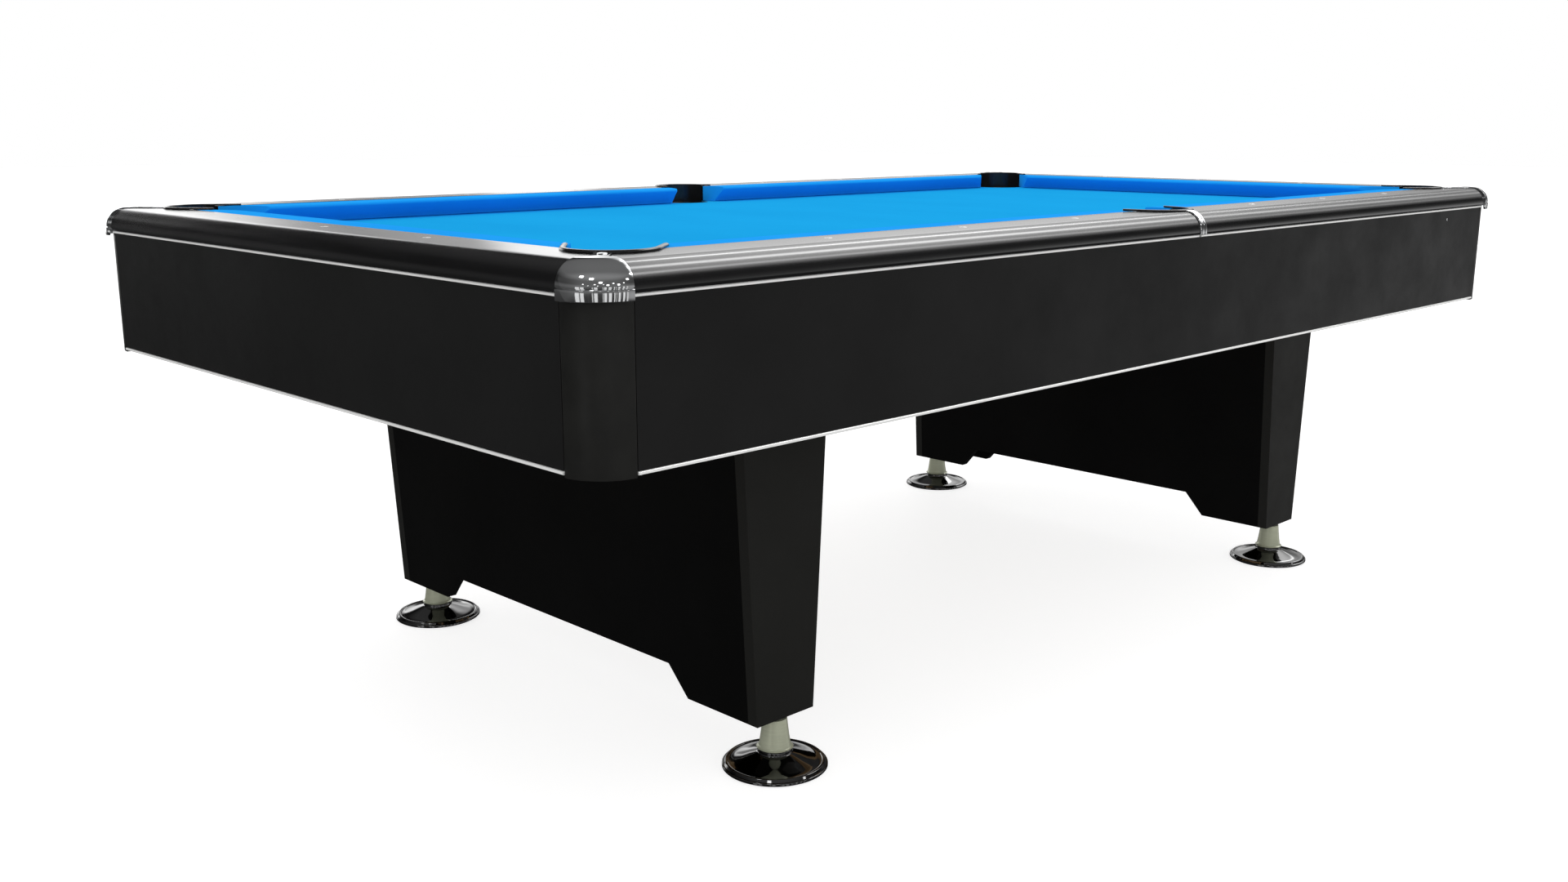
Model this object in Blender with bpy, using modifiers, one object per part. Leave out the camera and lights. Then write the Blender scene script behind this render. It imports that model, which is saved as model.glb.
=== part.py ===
"""Eight-foot pocket billiard table: slate bed, laminated cabinet and two box pedestals on levelling feet.

World frame: +X along the table, +Y across it, +Z up, the origin on the floor under the middle. Metres.
"""
import math

import bmesh
import bpy
from mathutils import Matrix, Vector

# ---- driving dimensions -------------------------------------------------------------------------
PLAY_L = 2.2352            # cushion nose to cushion nose, along X
PLAY_W = 1.1176            # cushion nose to cushion nose, along Y
RAIL_W = 0.151             # cushion nose to the outer plane of the aprons
RAIL_LIP = 0.007           # how far the rounded rail edge stands out past the aprons
GAP = 0.0003               # clearance between pieces that touch
OVERCUT = 0.01             # how far a cutter runs past what it cuts

BED_Z = 0.783              # playing surface
NOSE_Z = 0.8175            # cushion nose and rail top
SLATE_T = 0.025
CLOTH_T = 0.001
SLATE_MARGIN = 0.100       # slate beyond the cushion nose

FEATHER = 0.058            # nose to the joint between cushion and rail
CUSHION_NOSE_R = 0.004
CUSHION_CHEEK = (0.024, 0.006)  # corner of the undercut face: depth from the nose, height over the bed
CUSHION_HEEL = 0.029       # nose to the cushion's foot
CUSHION_STEP = 0.0005      # cushion cloth below the rail top
ROUND_START = 0.128        # nose to where the rail top starts to round over
ROUND_END_Z = 0.7840       # height where the rounded edge reaches its widest
RAIL_DROP_Z = 0.7806       # underside of the rail's outer edge
RAIL_DROP_START = 0.104    # nose to the step in the rail's underside
RAIL_CHAMFER = 0.002

POCKET_R = 0.054           # inside radius of every pocket
LINER_WALL = 0.003
WALL_TRIM = 0.0004         # how much thinner the liner is above the bed, on each face
WALL_START = 0.008         # joint between cushion and rail to the liner's wall
WALL_LAP = 0.006           # how far that wall reaches down into the cup
BORE_SLACK = 0.002         # between a liner and the edge of the slate around it
FLANGE_W = 0.0078
FLANGE_T = 0.0032
CUP_BOTTOM_Z = 0.642
CUP_FILLET = 0.020
CUP_TOP_DROP = 0.002       # top of the cup below the bed
CORNER_MOUTH = 0.127
CORNER_SHELF = 0.044
CORNER_HORN = 0.055        # mouth line to the end of a corner liner's arms
SIDE_MOUTH = 0.140
SIDE_SHELF = 0.012
SIDE_HORN = 0.044
PATH_STEPS = 16            # facets round the back of a pocket

TRIM_H = 0.0043
TRIM_PROUD = 0.002
UPPER_TRIM_Z = 0.7760
LOWER_TRIM_Z = 0.5715
APRON_T = 0.020

POST_R = 0.060             # outer radius of a corner post, which ends flush with the aprons
POST_BOTTOM_Z = 0.568

CAP_IN = 0.053             # outer corner of the cabinet to the cap's seams
CAP_PROUD = 0.0015         # cap beyond the rail's rounded edge
CAP_RISE = 0.002           # top of the dome over the rails
CAP_T = 0.003
SKIRT_TOP_Z = 0.7865
SKIRT_BOTTOM_Z = 0.7724
SKIRT_PROUD = 0.0018       # skirt beyond the dome
TONGUE_HALF_W = 0.0112     # strip that joins the cap to the pocket's flange
TONGUE_T = 0.0013
TONGUE_LAP = 0.018         # how far the strip runs on into the dome
BAND_W = 0.020
BAND_T = 0.0016

FRAME_Z = 0.6165           # underside of the cabinet frame
BEAM_T = 0.038
JOIST_T = 0.030
FRAME_HALF_L = 1.072
FRAME_HALF_W = 0.553

PEDESTAL_X = 0.7735
PEDESTAL_HALF_W = 0.507
PEDESTAL_BOTTOM_Z = 0.084
PEDESTAL_HALF_T_BOTTOM = 0.059
PEDESTAL_TAPER = 0.0574    # outward lean of each broad face per unit of height
PANEL_T = 0.018
END_PANEL_T = 0.020
ARCH_TOP_Z = 0.132
ARCH_HALF_TOP = 0.306
ARCH_HALF_BOTTOM = 0.3486
BLOCK_H = 0.090
BLOCK_HALF_T = 0.0385
BLOCK_DEPTH = 0.060

FOOT_X = 0.775
FOOT_Y = 0.4845
FOOT_R = 0.0817
RIM_W = 0.0065             # bead round the foot's edge
RIM_H = 0.0095
RIM_BEVEL = 0.004
EDGE_H = 0.006
HUB_R = 0.030              # flat middle of a foot's dished base
HUB_Z = 0.030
HUB_BEVEL = 0.0035
DISH = (0.052, 0.0170)     # radius and height halfway down the dished face
GROOVE = (0.0722, 0.0090)  # radius and height of the groove inside the bead
SOCKET_FLOOR_Z = 0.012
STEM_R = 0.008
STEM_TOP_Z = 0.150
STEM_BEVEL = 0.001
STEM_SLACK = 0.0005
PIVOT_R = 0.006
PIVOT_TIP_Z = 0.0125
COLLAR_R = 0.0262
COLLAR_STEP_Z = 0.0330
COLLAR_WAIST = (0.0236, 0.0370)
COLLAR_TOP = (0.0188, 0.0785)
NUT_R = 0.0155

HALF_L = PLAY_L / 2 + RAIL_W
HALF_W = PLAY_W / 2 + RAIL_W
NOSE_L = PLAY_L / 2
NOSE_W = PLAY_W / 2
CLOTH_Z = BED_Z - CLOTH_T
SLATE_Z = CLOTH_Z - GAP
RAIL_BOTTOM_Z = BED_Z + GAP
RAIL_EDGE = RAIL_W + RAIL_LIP
ROUND_REACH = RAIL_EDGE - ROUND_START
ROUND_RISE = NOSE_Z - ROUND_END_Z
FLANGE_Z = NOSE_Z + GAP
ROOT2 = math.sqrt(2)
ALONG_X = (1, 0, 0)
ALONG_Y = (0, 1, 0)
UP = (0, 0, 1)

SIDES = {"left": (-1, 0), "right": (1, 0), "front": (0, -1), "back": (0, 1)}
CORNERS = {"front_left": (-1, -1), "front_right": (1, -1), "back_right": (1, 1), "back_left": (-1, 1)}


# ---- scene helpers ------------------------------------------------------------------------------
def clear_scene():
    for obj in list(bpy.data.objects):
        bpy.data.objects.remove(obj, do_unlink=True)


def new_collection(name):
    coll = bpy.data.collections.get(name) or bpy.data.collections.new(name)
    if coll.name not in bpy.context.scene.collection.children:
        bpy.context.scene.collection.children.link(coll)
    return coll


def new_material(name, colour, roughness, metallic=0.0):
    mat = bpy.data.materials.new(name)
    mat.use_nodes = True
    shader = mat.node_tree.nodes["Principled BSDF"]
    shader.inputs["Base Color"].default_value = (*colour, 1.0)
    shader.inputs["Roughness"].default_value = roughness
    shader.inputs["Metallic"].default_value = metallic
    return mat


clear_scene()
PARTS = new_collection("pool_table")
CUTTERS = new_collection("cutters")
LAMINATE = new_material("black_laminate", (0.018, 0.018, 0.018), 0.45)
RAIL_BLACK = new_material("satin_rail", (0.012, 0.012, 0.012), 0.28)
CLOTH = new_material("blue_cloth", (0.012, 0.36, 0.84), 0.9)
SLATE_GREY = new_material("slate", (0.08, 0.085, 0.09), 0.7)
PINE = new_material("pine", (0.55, 0.38, 0.2), 0.65)
PLASTIC = new_material("black_plastic", (0.01, 0.01, 0.01), 0.35)
CHROME = new_material("chrome", (0.8, 0.8, 0.8), 0.08, 1.0)
ALUMINIUM = new_material("bright_trim", (0.85, 0.85, 0.83), 0.25, 1.0)


def place(obj, coll, material=None):
    for old in list(obj.users_collection):
        old.objects.unlink(obj)
    coll.objects.link(obj)
    if material:
        obj.data.materials.clear()
        obj.data.materials.append(material)
    return obj


def combine(obj, other, operation):
    place(other, CUTTERS)
    other.hide_render = True
    other.display_type = "WIRE"
    mod = obj.modifiers.new(operation.lower(), "BOOLEAN")
    mod.operation = operation
    mod.object = other


def cut(obj, *others):
    for other in others:
        combine(obj, other, "DIFFERENCE")


def join(obj, *others):
    for other in others:
        combine(obj, other, "UNION")


def box(name, low, high, material=None, centre=(0.0, 0.0), angle=0.0):
    """A box between two corners, turned by angle about its own origin, which stands at centre in plan."""
    low, high = Vector(low), Vector(high)
    bpy.ops.mesh.primitive_cube_add(size=1.0, location=(0, 0, 0))
    obj = bpy.context.object
    obj.name = name
    obj.data.transform(Matrix.Diagonal((*(high - low), 1.0)))
    obj.location = Vector((*centre, 0.0)) + Matrix.Rotation(angle, 3, "Z") @ ((low + high) / 2)
    obj.rotation_euler.z = angle
    return place(obj, PARTS, material)


def disc(name, radius, low_z, high_z, centre, segments=32):
    bpy.ops.mesh.primitive_cylinder_add(vertices=segments, radius=radius, depth=high_z - low_z,
                                        location=(*centre, (low_z + high_z) / 2))
    obj = bpy.context.object
    obj.name = name
    return place(obj, PARTS)


def extruded(name, outlines, thickness, centre, across, up, material=None):
    """Flat outlines in the plane of across and up, thickened evenly about the point centre."""
    curve = bpy.data.curves.new(name, "CURVE")
    curve.dimensions = "2D"
    curve.fill_mode = "BOTH"
    curve.extrude = thickness / 2
    for outline in outlines:
        spline = curve.splines.new("POLY")
        spline.points.add(len(outline) - 1)
        for point, (x, y) in zip(spline.points, outline):
            point.co = (x, y, 0.0, 1.0)
        spline.use_cyclic_u = True
    guide = bpy.data.objects.new(name, curve)
    PARTS.objects.link(guide)
    across, up = Vector(across), Vector(up)
    frame = Matrix((across, up, across.cross(up))).transposed().to_4x4()
    guide.matrix_world = Matrix.Translation(centre) @ frame
    bpy.context.view_layer.update()
    evaluated = guide.evaluated_get(bpy.context.evaluated_depsgraph_get())
    mesh = bpy.data.meshes.new_from_object(evaluated)
    shape = bmesh.new()
    shape.from_mesh(mesh)
    bmesh.ops.remove_doubles(shape, verts=shape.verts, dist=1e-6)
    shape.to_mesh(mesh)
    shape.free()
    world = guide.matrix_world.copy()
    bpy.data.objects.remove(guide)
    bpy.data.curves.remove(curve)
    obj = bpy.data.objects.new(name, mesh)
    obj.matrix_world = world
    return place(obj, PARTS, material)


def plate(name, outlines, low_z, high_z, material=None):
    """Outlines in plan, between two heights."""
    return extruded(name, outlines, high_z - low_z, (0, 0, (low_z + high_z) / 2), ALONG_X, ALONG_Y, material)


def run_along(name, outline, length, side, middle, nose, material):
    """A section run along one side of the table, its own x pointing outward and its y up."""
    nx, ny = SIDES[side]
    centre = Vector((nx, ny, 0)) * nose + Vector((ny, -nx, 0)) * middle
    return extruded(name, [outline], length, centre, (nx, ny, 0), UP, material)


def turned(name, profile, centre, material, steps):
    """A profile of (radius, height) points, run down its outer side and turned about centre's vertical.

    Two neighbouring points on the axis stay unjoined, because the turn closes the shape there.
    """
    edges = []
    for i, (radius, _) in enumerate(profile):
        following = (i + 1) % len(profile)
        if radius or profile[following][0]:
            edges.append((i, following))
    mesh = bpy.data.meshes.new(name)
    mesh.from_pydata([(r, 0.0, z) for r, z in profile], edges, [])
    obj = bpy.data.objects.new(name, mesh)
    obj.location = (*centre, 0.0)
    screw = obj.modifiers.new("turn", "SCREW")
    screw.steps = steps
    screw.render_steps = steps
    screw.use_merge_vertices = True
    screw.merge_threshold = 1e-5
    screw.use_smooth_shade = True
    return place(obj, PARTS, material)


def arc(cx, cy, radius, start, end, steps, radius_y=None):
    """Points along an arc from start to end degrees."""
    radius_y = radius if radius_y is None else radius_y
    angles = [math.radians(start + (end - start) * i / steps) for i in range(steps + 1)]
    return [(cx + radius * math.cos(a), cy + radius_y * math.sin(a)) for a in angles]


def rectangle(x0, x1, y0, y1):
    return [(x0, y0), (x1, y0), (x1, y1), (x0, y1)]


# ---- pocket geometry ----------------------------------------------------------------------------
class Pocket:
    """A pocket in plan: its own x runs outward from the middle of its mouth, along the direction angle."""

    def __init__(self, name, mouth, half_mouth, shelf, horn, angle):
        self.name = name
        self.mouth = mouth
        self.half_mouth = half_mouth
        self.centre_depth = shelf + POCKET_R
        self.horn = horn
        self.angle = angle
        reach = math.hypot(self.centre_depth, half_mouth)
        # a straight facing from the nose runs tangent to the pocket's circle
        self.taper = math.atan2(half_mouth, self.centre_depth) - math.asin(POCKET_R / reach)
        self.centre = self.to_table((self.centre_depth, 0.0))

    def to_table(self, point):
        x, y = point
        cosine, sine = math.cos(self.angle), math.sin(self.angle)
        return (self.mouth[0] + x * cosine - y * sine, self.mouth[1] + x * sine + y * cosine)

    def feather_depth(self):
        """Mouth line to where the facing crosses the joint between cushion and rail."""
        if self.name in CORNERS:
            return FEATHER * ROOT2 / (1 - math.tan(self.taper))
        return FEATHER

    def facing_point(self, depth, offset):
        """A point on the facing, offset outward from the throat, at a depth from the mouth line."""
        half = self.half_mouth - depth * math.tan(self.taper) + offset / math.cos(self.taper)
        return (depth, half)

    def path(self, start_depth, offset):
        """From one facing round the back of the pocket to the other, offset outward from the throat."""
        turn = 90 - math.degrees(self.taper)
        depth, half = self.facing_point(start_depth, offset)
        back = arc(self.centre_depth, 0.0, POCKET_R + offset, turn, -turn, PATH_STEPS)
        return [(depth, half)] + back + [(depth, -half)]

    def ribbon(self, start_depth, inner, outer, end_steps=1):
        """A horseshoe between two offsets of the throat, its ends square, or round with more end_steps."""
        x, y = self.facing_point(start_depth, (inner + outer) / 2)
        radius = (outer - inner) / 2
        outline = self.path(start_depth, outer) + arc(x, -y, radius, 270, 90, end_steps)[1:-1]
        outline += self.path(start_depth, inner)[::-1] + arc(x, y, radius, 270, 90, end_steps)[1:-1]
        return [self.to_table(p) for p in outline]

    def hole(self, offset):
        """The throat's outline, run out over the bed past the mouth."""
        return [self.to_table(p) for p in self.path(-3 * OVERCUT, offset)]


def corner_pocket(name, sx, sy):
    inset = CORNER_MOUTH / 2 / ROOT2
    mouth = (sx * (NOSE_L - inset), sy * (NOSE_W - inset))
    return Pocket(name, mouth, CORNER_MOUTH / 2, CORNER_SHELF, CORNER_HORN, math.atan2(sy, sx))


def side_pocket(name, sy):
    return Pocket(name, (0.0, sy * NOSE_W), SIDE_MOUTH / 2, SIDE_SHELF, SIDE_HORN, sy * math.pi / 2)


POCKETS = {name: corner_pocket(name, *signs) for name, signs in CORNERS.items()}
POCKETS["front_side"] = side_pocket("front_side", -1)
POCKETS["back_side"] = side_pocket("back_side", 1)


# ---- bed ----------------------------------------------------------------------------------------
def bed_sheet(name, low_z, high_z, material):
    """A slab the size of the slate, notched at each pocket."""
    half_l, half_w = NOSE_L + SLATE_MARGIN, NOSE_W + SLATE_MARGIN
    sheet = box(name, (-half_l, -half_w, low_z), (half_l, half_w, high_z), material)
    radius = POCKET_R + LINER_WALL + BORE_SLACK
    low_z, high_z = low_z - OVERCUT, high_z + OVERCUT
    for pocket in POCKETS.values():
        cut(sheet, disc(f"{name}_bore_{pocket.name}", radius, low_z, high_z, pocket.centre))
        if pocket.name in CORNERS:
            cut(sheet, box(f"{name}_notch_{pocket.name}", (0, -radius, low_z), (2 * radius, radius, high_z),
                           centre=pocket.centre, angle=pocket.angle))


def make_bed():
    bed_sheet("slate", SLATE_Z - SLATE_T, SLATE_Z, SLATE_GREY)
    bed_sheet("bed_cloth", CLOTH_Z, BED_Z, CLOTH)


# ---- rails and cushions -------------------------------------------------------------------------
def rail_outline():
    """Across the rail: outward from the nose, and up."""
    start = FEATHER + GAP
    bullnose = arc(ROUND_START, ROUND_END_Z, ROUND_REACH, 90, 0, 12, ROUND_RISE)
    return [(start, NOSE_Z)] + bullnose + [
        (RAIL_EDGE - RAIL_CHAMFER, RAIL_DROP_Z), (RAIL_DROP_START, RAIL_DROP_Z),
        (RAIL_DROP_START, RAIL_BOTTOM_Z), (start, RAIL_BOTTOM_Z)]


def cushion_outline():
    """The rubber's nose, its undercut face, and its flat back and top."""
    top, bottom = NOSE_Z - CUSHION_STEP, BED_Z + 2 * GAP
    cheek, cheek_height = CUSHION_CHEEK
    nose = arc(CUSHION_NOSE_R, top - CUSHION_NOSE_R, CUSHION_NOSE_R, 90, 215, 5)
    return nose + [(cheek, BED_Z + cheek_height), (CUSHION_HEEL, bottom), (FEATHER, bottom), (FEATHER, top)]


def pocket_holes(purpose, offset):
    """A cutter through the rails at each pocket, offset outward from its throat."""
    holes = {}
    for name, pocket in POCKETS.items():
        holes[name] = plate(f"{purpose}_hole_{name}", [pocket.hole(offset)], RAIL_DROP_Z - OVERCUT,
                            NOSE_Z + OVERCUT)
    return holes


def mitre(rail, side, corner):
    """Takes the neighbour's half of the corner square off a rail, along the cap's diagonal."""
    sx, sy = CORNERS[corner]
    reach = RAIL_EDGE
    if side in ("front", "back"):
        steps = [(0, 0), (sx * OVERCUT, 0), (sx * OVERCUT, -sy * reach), (-sx * reach, -sy * reach)]
        lift = (-sx * GAP / 2, sy * GAP / 2)
    else:
        steps = [(0, 0), (0, sy * OVERCUT), (-sx * reach, sy * OVERCUT), (-sx * reach, -sy * reach)]
        lift = (sx * GAP / 2, -sy * GAP / 2)
    cx = sx * (HALF_L - CAP_IN) + lift[0]
    cy = sy * (HALF_W - CAP_IN) + lift[1]
    outline = [(cx + x, cy + y) for x, y in steps]
    cut(rail, plate(f"mitre_{rail.name}_{corner}", [outline], RAIL_DROP_Z - OVERCUT, NOSE_Z + OVERCUT))


def make_end_rails(rail_holes, cushion_holes):
    for side in ("left", "right"):
        corners = [name for name, signs in CORNERS.items() if signs[0] == SIDES[side][0]]
        length = 2 * (HALF_W - CAP_IN - GAP)
        rail = run_along(f"end_rail_{side}", rail_outline(), length, side, 0.0, NOSE_L, RAIL_BLACK)
        cushion = run_along(f"end_cushion_{side}", cushion_outline(), PLAY_W, side, 0.0, NOSE_L, CLOTH)
        for corner in corners:
            cut(rail, rail_holes[corner])
            cut(cushion, cushion_holes[corner])
            mitre(rail, side, corner)


def make_side_rails(rail_holes, cushion_holes):
    """Two rails on each long side, which meet behind the side pocket."""
    inner = GAP / 2
    outer = HALF_L - CAP_IN - GAP
    for corner, (sx, sy) in CORNERS.items():
        side = "front" if sy < 0 else "back"
        half = sx * sy
        middle = half * (inner + outer) / 2
        rail = run_along(f"side_rail_{corner}", rail_outline(), outer - inner, side, middle,
                         NOSE_W, RAIL_BLACK)
        cushion = run_along(f"side_cushion_{corner}", cushion_outline(), NOSE_L, side, half * NOSE_L / 2,
                            NOSE_W, CLOTH)
        cut(rail, rail_holes[corner], rail_holes[f"{side}_side"])
        cut(cushion, cushion_holes[corner], cushion_holes[f"{side}_side"])
        mitre(rail, side, corner)


def make_rails():
    rail_holes = pocket_holes("rail", LINER_WALL + GAP)
    cushion_holes = pocket_holes("cushion", 0.0)
    make_end_rails(rail_holes, cushion_holes)
    make_side_rails(rail_holes, cushion_holes)


# ---- pocket liners ------------------------------------------------------------------------------
def cup_profile():
    """A liner's cup below the bed: outside down, inside back up."""
    outer, fillet_z = POCKET_R + LINER_WALL, CUP_BOTTOM_Z + CUP_FILLET
    top, floor = BED_Z - CUP_TOP_DROP, CUP_BOTTOM_Z + LINER_WALL
    outside = arc(outer - CUP_FILLET, fillet_z, CUP_FILLET, 0, -90, 3)
    inside = arc(POCKET_R - CUP_FILLET, fillet_z + LINER_WALL, CUP_FILLET, -90, 0, 3)
    return [(outer, top)] + outside + [(0.0, CUP_BOTTOM_Z), (0.0, floor)] + inside + [(POCKET_R, top)]


def make_liners():
    for name, pocket in POCKETS.items():
        liner = turned(f"pocket_liner_{name}", cup_profile(), pocket.centre, PLASTIC, 24)
        wall = pocket.ribbon(pocket.feather_depth() + WALL_START, WALL_TRIM, LINER_WALL - WALL_TRIM)
        flange = pocket.ribbon(pocket.horn, 0.0, FLANGE_W, end_steps=6)
        join(liner, plate(f"wall_{name}", [wall], BED_Z - WALL_LAP, FLANGE_Z + FLANGE_T / 2),
             plate(f"flange_{name}", [flange], FLANGE_Z, FLANGE_Z + FLANGE_T))


# ---- chrome castings ----------------------------------------------------------------------------
def cap_profile():
    """Half section of a full dome with its skirt: down the outside, then up the inside."""
    flat = CAP_IN + ROUND_START - RAIL_W
    edge = CAP_IN + RAIL_LIP + CAP_PROUD
    inner_edge = edge - CAP_T
    skirt = edge + SKIRT_PROUD
    top = NOSE_Z + CAP_RISE
    rise = top - SKIRT_TOP_Z
    dome = arc(flat, SKIRT_TOP_Z, edge - flat, 90, 0, 8, rise)
    inside = arc(flat, SKIRT_TOP_Z, inner_edge - flat, 0, 90, 5, rise - CAP_T)
    hem = [(skirt, SKIRT_TOP_Z), (skirt, SKIRT_BOTTOM_Z), (inner_edge, SKIRT_BOTTOM_Z)]
    return [(0.0, top)] + dome + hem + inside + [(0.0, top - CAP_T)]


def tongue_outline(pocket, cap_depth):
    """A strip from the liner's flange to under the dome, whose middle lies at cap_depth."""
    end_radius = POCKET_R + FLANGE_W + GAP
    half_angle = math.degrees(math.asin(TONGUE_HALF_W / end_radius))
    end = arc(pocket.centre_depth, 0.0, end_radius, -half_angle, half_angle, 4)
    far = cap_depth + TONGUE_LAP
    return [pocket.to_table(p) for p in end + [(far, TONGUE_HALF_W), (far, -TONGUE_HALF_W)]]


def make_caps():
    for name, (sx, sy) in CORNERS.items():
        pocket = POCKETS[name]
        centre = (sx * (HALF_L - CAP_IN), sy * (HALF_W - CAP_IN))
        cap = turned(f"corner_cap_{name}", cap_profile(), centre, CHROME, 48)
        reach = CAP_IN + RAIL_LIP + 2 * OVERCUT
        xs, ys = sorted((0.0, sx * reach)), sorted((0.0, sy * reach))
        quarter = box(f"quarter_{name}", (xs[0], ys[0], SKIRT_BOTTOM_Z - OVERCUT),
                      (xs[1], ys[1], NOSE_Z + OVERCUT), centre=centre)
        combine(cap, quarter, "INTERSECT")
        tongue = tongue_outline(pocket, math.dist(centre, pocket.mouth))
        join(cap, plate(f"tongue_{name}", [tongue], FLANGE_Z, FLANGE_Z + TONGUE_T))


def band_outline():
    """A thin strip that follows the rail's rounded edge, from the pocket flange to just above the trim."""
    start = SIDE_SHELF + 2 * POCKET_R + FLANGE_W + GAP
    first = math.degrees(math.acos((start - ROUND_START) / ROUND_REACH))
    under, over = GAP, GAP + BAND_T
    inside = arc(ROUND_START, ROUND_END_Z, ROUND_REACH + under, first, 0, 10, ROUND_RISE + under)
    outside = arc(ROUND_START, ROUND_END_Z, ROUND_REACH + over, 0, first, 10, ROUND_RISE + over)
    foot = RAIL_DROP_Z + GAP
    return inside + [(inside[-1][0], foot), (outside[0][0], foot)] + outside


def make_bands():
    for side in ("front", "back"):
        run_along(f"side_casting_{side}", band_outline(), BAND_W, side, 0.0, NOSE_W, CHROME)


# ---- cabinet ------------------------------------------------------------------------------------
def side_board(name, side, proud, inset, low_z, high_z, material):
    """A board along one side of the cabinet, which stops short of each outer corner by inset."""
    nx, ny = SIDES[side]
    face = HALF_L if nx else HALF_W
    half = (HALF_W if nx else HALF_L) - inset - GAP
    low = [-half, -half, low_z]
    high = [half, half, high_z]
    axis = 0 if nx else 1
    low[axis], high[axis] = sorted(((nx + ny) * (face - APRON_T), (nx + ny) * (face + proud)))
    box(name, low, high, material)


def make_sides():
    lower_top = LOWER_TRIM_Z + TRIM_H
    upper_top = UPPER_TRIM_Z + TRIM_H
    for side in SIDES:
        side_board(f"apron_{side}", side, 0.0, POST_R, lower_top + GAP, UPPER_TRIM_Z - GAP, LAMINATE)
        side_board(f"upper_trim_{side}", side, TRIM_PROUD, CAP_IN, UPPER_TRIM_Z, upper_top, ALUMINIUM)
        side_board(f"lower_trim_{side}", side, TRIM_PROUD, POST_R, LOWER_TRIM_Z, lower_top, ALUMINIUM)


def make_posts():
    for name, (sx, sy) in CORNERS.items():
        centre = (sx * (HALF_L - POST_R), sy * (HALF_W - POST_R))
        start = math.degrees(math.atan2(sy, sx)) - 45
        section = arc(*centre, POST_R, start, start + 90, 12)
        section += arc(*centre, POST_R - APRON_T, start + 90, start, 8)
        plate(f"corner_post_{name}", [section], POST_BOTTOM_Z, UPPER_TRIM_Z - GAP, LAMINATE)


def make_frame():
    """A ring of beams with joists: a pair over each pedestal and one across the middle."""
    inner_y = FRAME_HALF_W - BEAM_T
    outer_joist = pedestal_half(FRAME_Z)
    inner_joist = outer_joist - JOIST_T
    bays = [(JOIST_T / 2, PEDESTAL_X - outer_joist), (PEDESTAL_X - inner_joist, PEDESTAL_X + inner_joist),
            (PEDESTAL_X + outer_joist, FRAME_HALF_L - BEAM_T)]
    outlines = [rectangle(-FRAME_HALF_L, FRAME_HALF_L, -FRAME_HALF_W, FRAME_HALF_W)]
    for start, end in bays:
        outlines.append(rectangle(start, end, -inner_y, inner_y))
        outlines.append(rectangle(-end, -start, -inner_y, inner_y))
    plate("cabinet_frame", outlines, FRAME_Z, SLATE_Z - SLATE_T - GAP, PINE)


# ---- pedestals ----------------------------------------------------------------------------------
def pedestal_half(z):
    """Half the pedestal's thickness at a height."""
    return PEDESTAL_HALF_T_BOTTOM + PEDESTAL_TAPER * (z - PEDESTAL_BOTTOM_Z)


def make_broad_panels(label, sx):
    """The two leaning faces, each with an arch at floor level."""
    low, high = PEDESTAL_BOTTOM_Z, FRAME_Z - GAP
    half_low, half_high = pedestal_half(low), pedestal_half(high)
    centre = (sx * PEDESTAL_X, 0, 0)
    length = 2 * (PEDESTAL_HALF_W - END_PANEL_T - GAP)
    section = [(half_low, low), (half_high, high), (half_high - PANEL_T, high), (half_low - PANEL_T, low)]
    arch = [(-ARCH_HALF_BOTTOM, low), (-ARCH_HALF_TOP, ARCH_TOP_Z), (ARCH_HALF_TOP, ARCH_TOP_Z),
            (ARCH_HALF_BOTTOM, low), (ARCH_HALF_BOTTOM, low - OVERCUT), (-ARCH_HALF_BOTTOM, low - OVERCUT)]
    arch_tool = extruded(f"arch_{label}", [arch], 3 * half_high, centre, ALONG_Y, UP)
    for face, direction in (("outer", sx), ("inner", -sx)):
        panel = extruded(f"pedestal_{label}_{face}_panel", [section], length, centre, (direction, 0, 0), UP,
                         LAMINATE)
        cut(panel, arch_tool)


def make_end_panels(label, sx):
    """The narrow front and back faces, each with a bored block behind it that carries a foot's stem."""
    low, high = PEDESTAL_BOTTOM_Z, FRAME_Z - GAP
    half_low, half_high = pedestal_half(low), pedestal_half(high)
    x = sx * PEDESTAL_X
    gable = [(half_high, high), (-half_high, high), (-half_low, low), (half_low, low)]
    for face, sy in (("front", -1), ("back", 1)):
        middle = sy * (PEDESTAL_HALF_W - END_PANEL_T / 2)
        panel = extruded(f"pedestal_{label}_{face}_end", [gable], END_PANEL_T, (x, middle, 0), ALONG_X, UP,
                         LAMINATE)
        ys = sorted((sy * (PEDESTAL_HALF_W - BLOCK_DEPTH), middle))
        block = box(f"block_{label}_{face}", (x - BLOCK_HALF_T, ys[0], low + GAP),
                    (x + BLOCK_HALF_T, ys[1], low + BLOCK_H))
        bore = disc(f"bore_{label}_{face}", STEM_R + STEM_SLACK, low - OVERCUT, STEM_TOP_Z + OVERCUT,
                    (sx * FOOT_X, sy * FOOT_Y))
        join(panel, block)
        cut(panel, bore)


# ---- levelling feet -----------------------------------------------------------------------------
def base_profile():
    """A dished disc with a beaded rim, and a socket for the stem's pivot."""
    socket = PIVOT_R + GAP
    hub = [(socket, HUB_Z), (HUB_R - HUB_BEVEL, HUB_Z), (HUB_R, HUB_Z - HUB_BEVEL)]
    rim = [(FOOT_R - RIM_W, RIM_H), (FOOT_R - RIM_BEVEL, RIM_H), (FOOT_R, EDGE_H), (FOOT_R, 0.0)]
    return hub + [DISH, GROOVE] + rim + [(0.0, 0.0), (0.0, SOCKET_FLOOR_Z), (socket, SOCKET_FLOOR_Z)]


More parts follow.
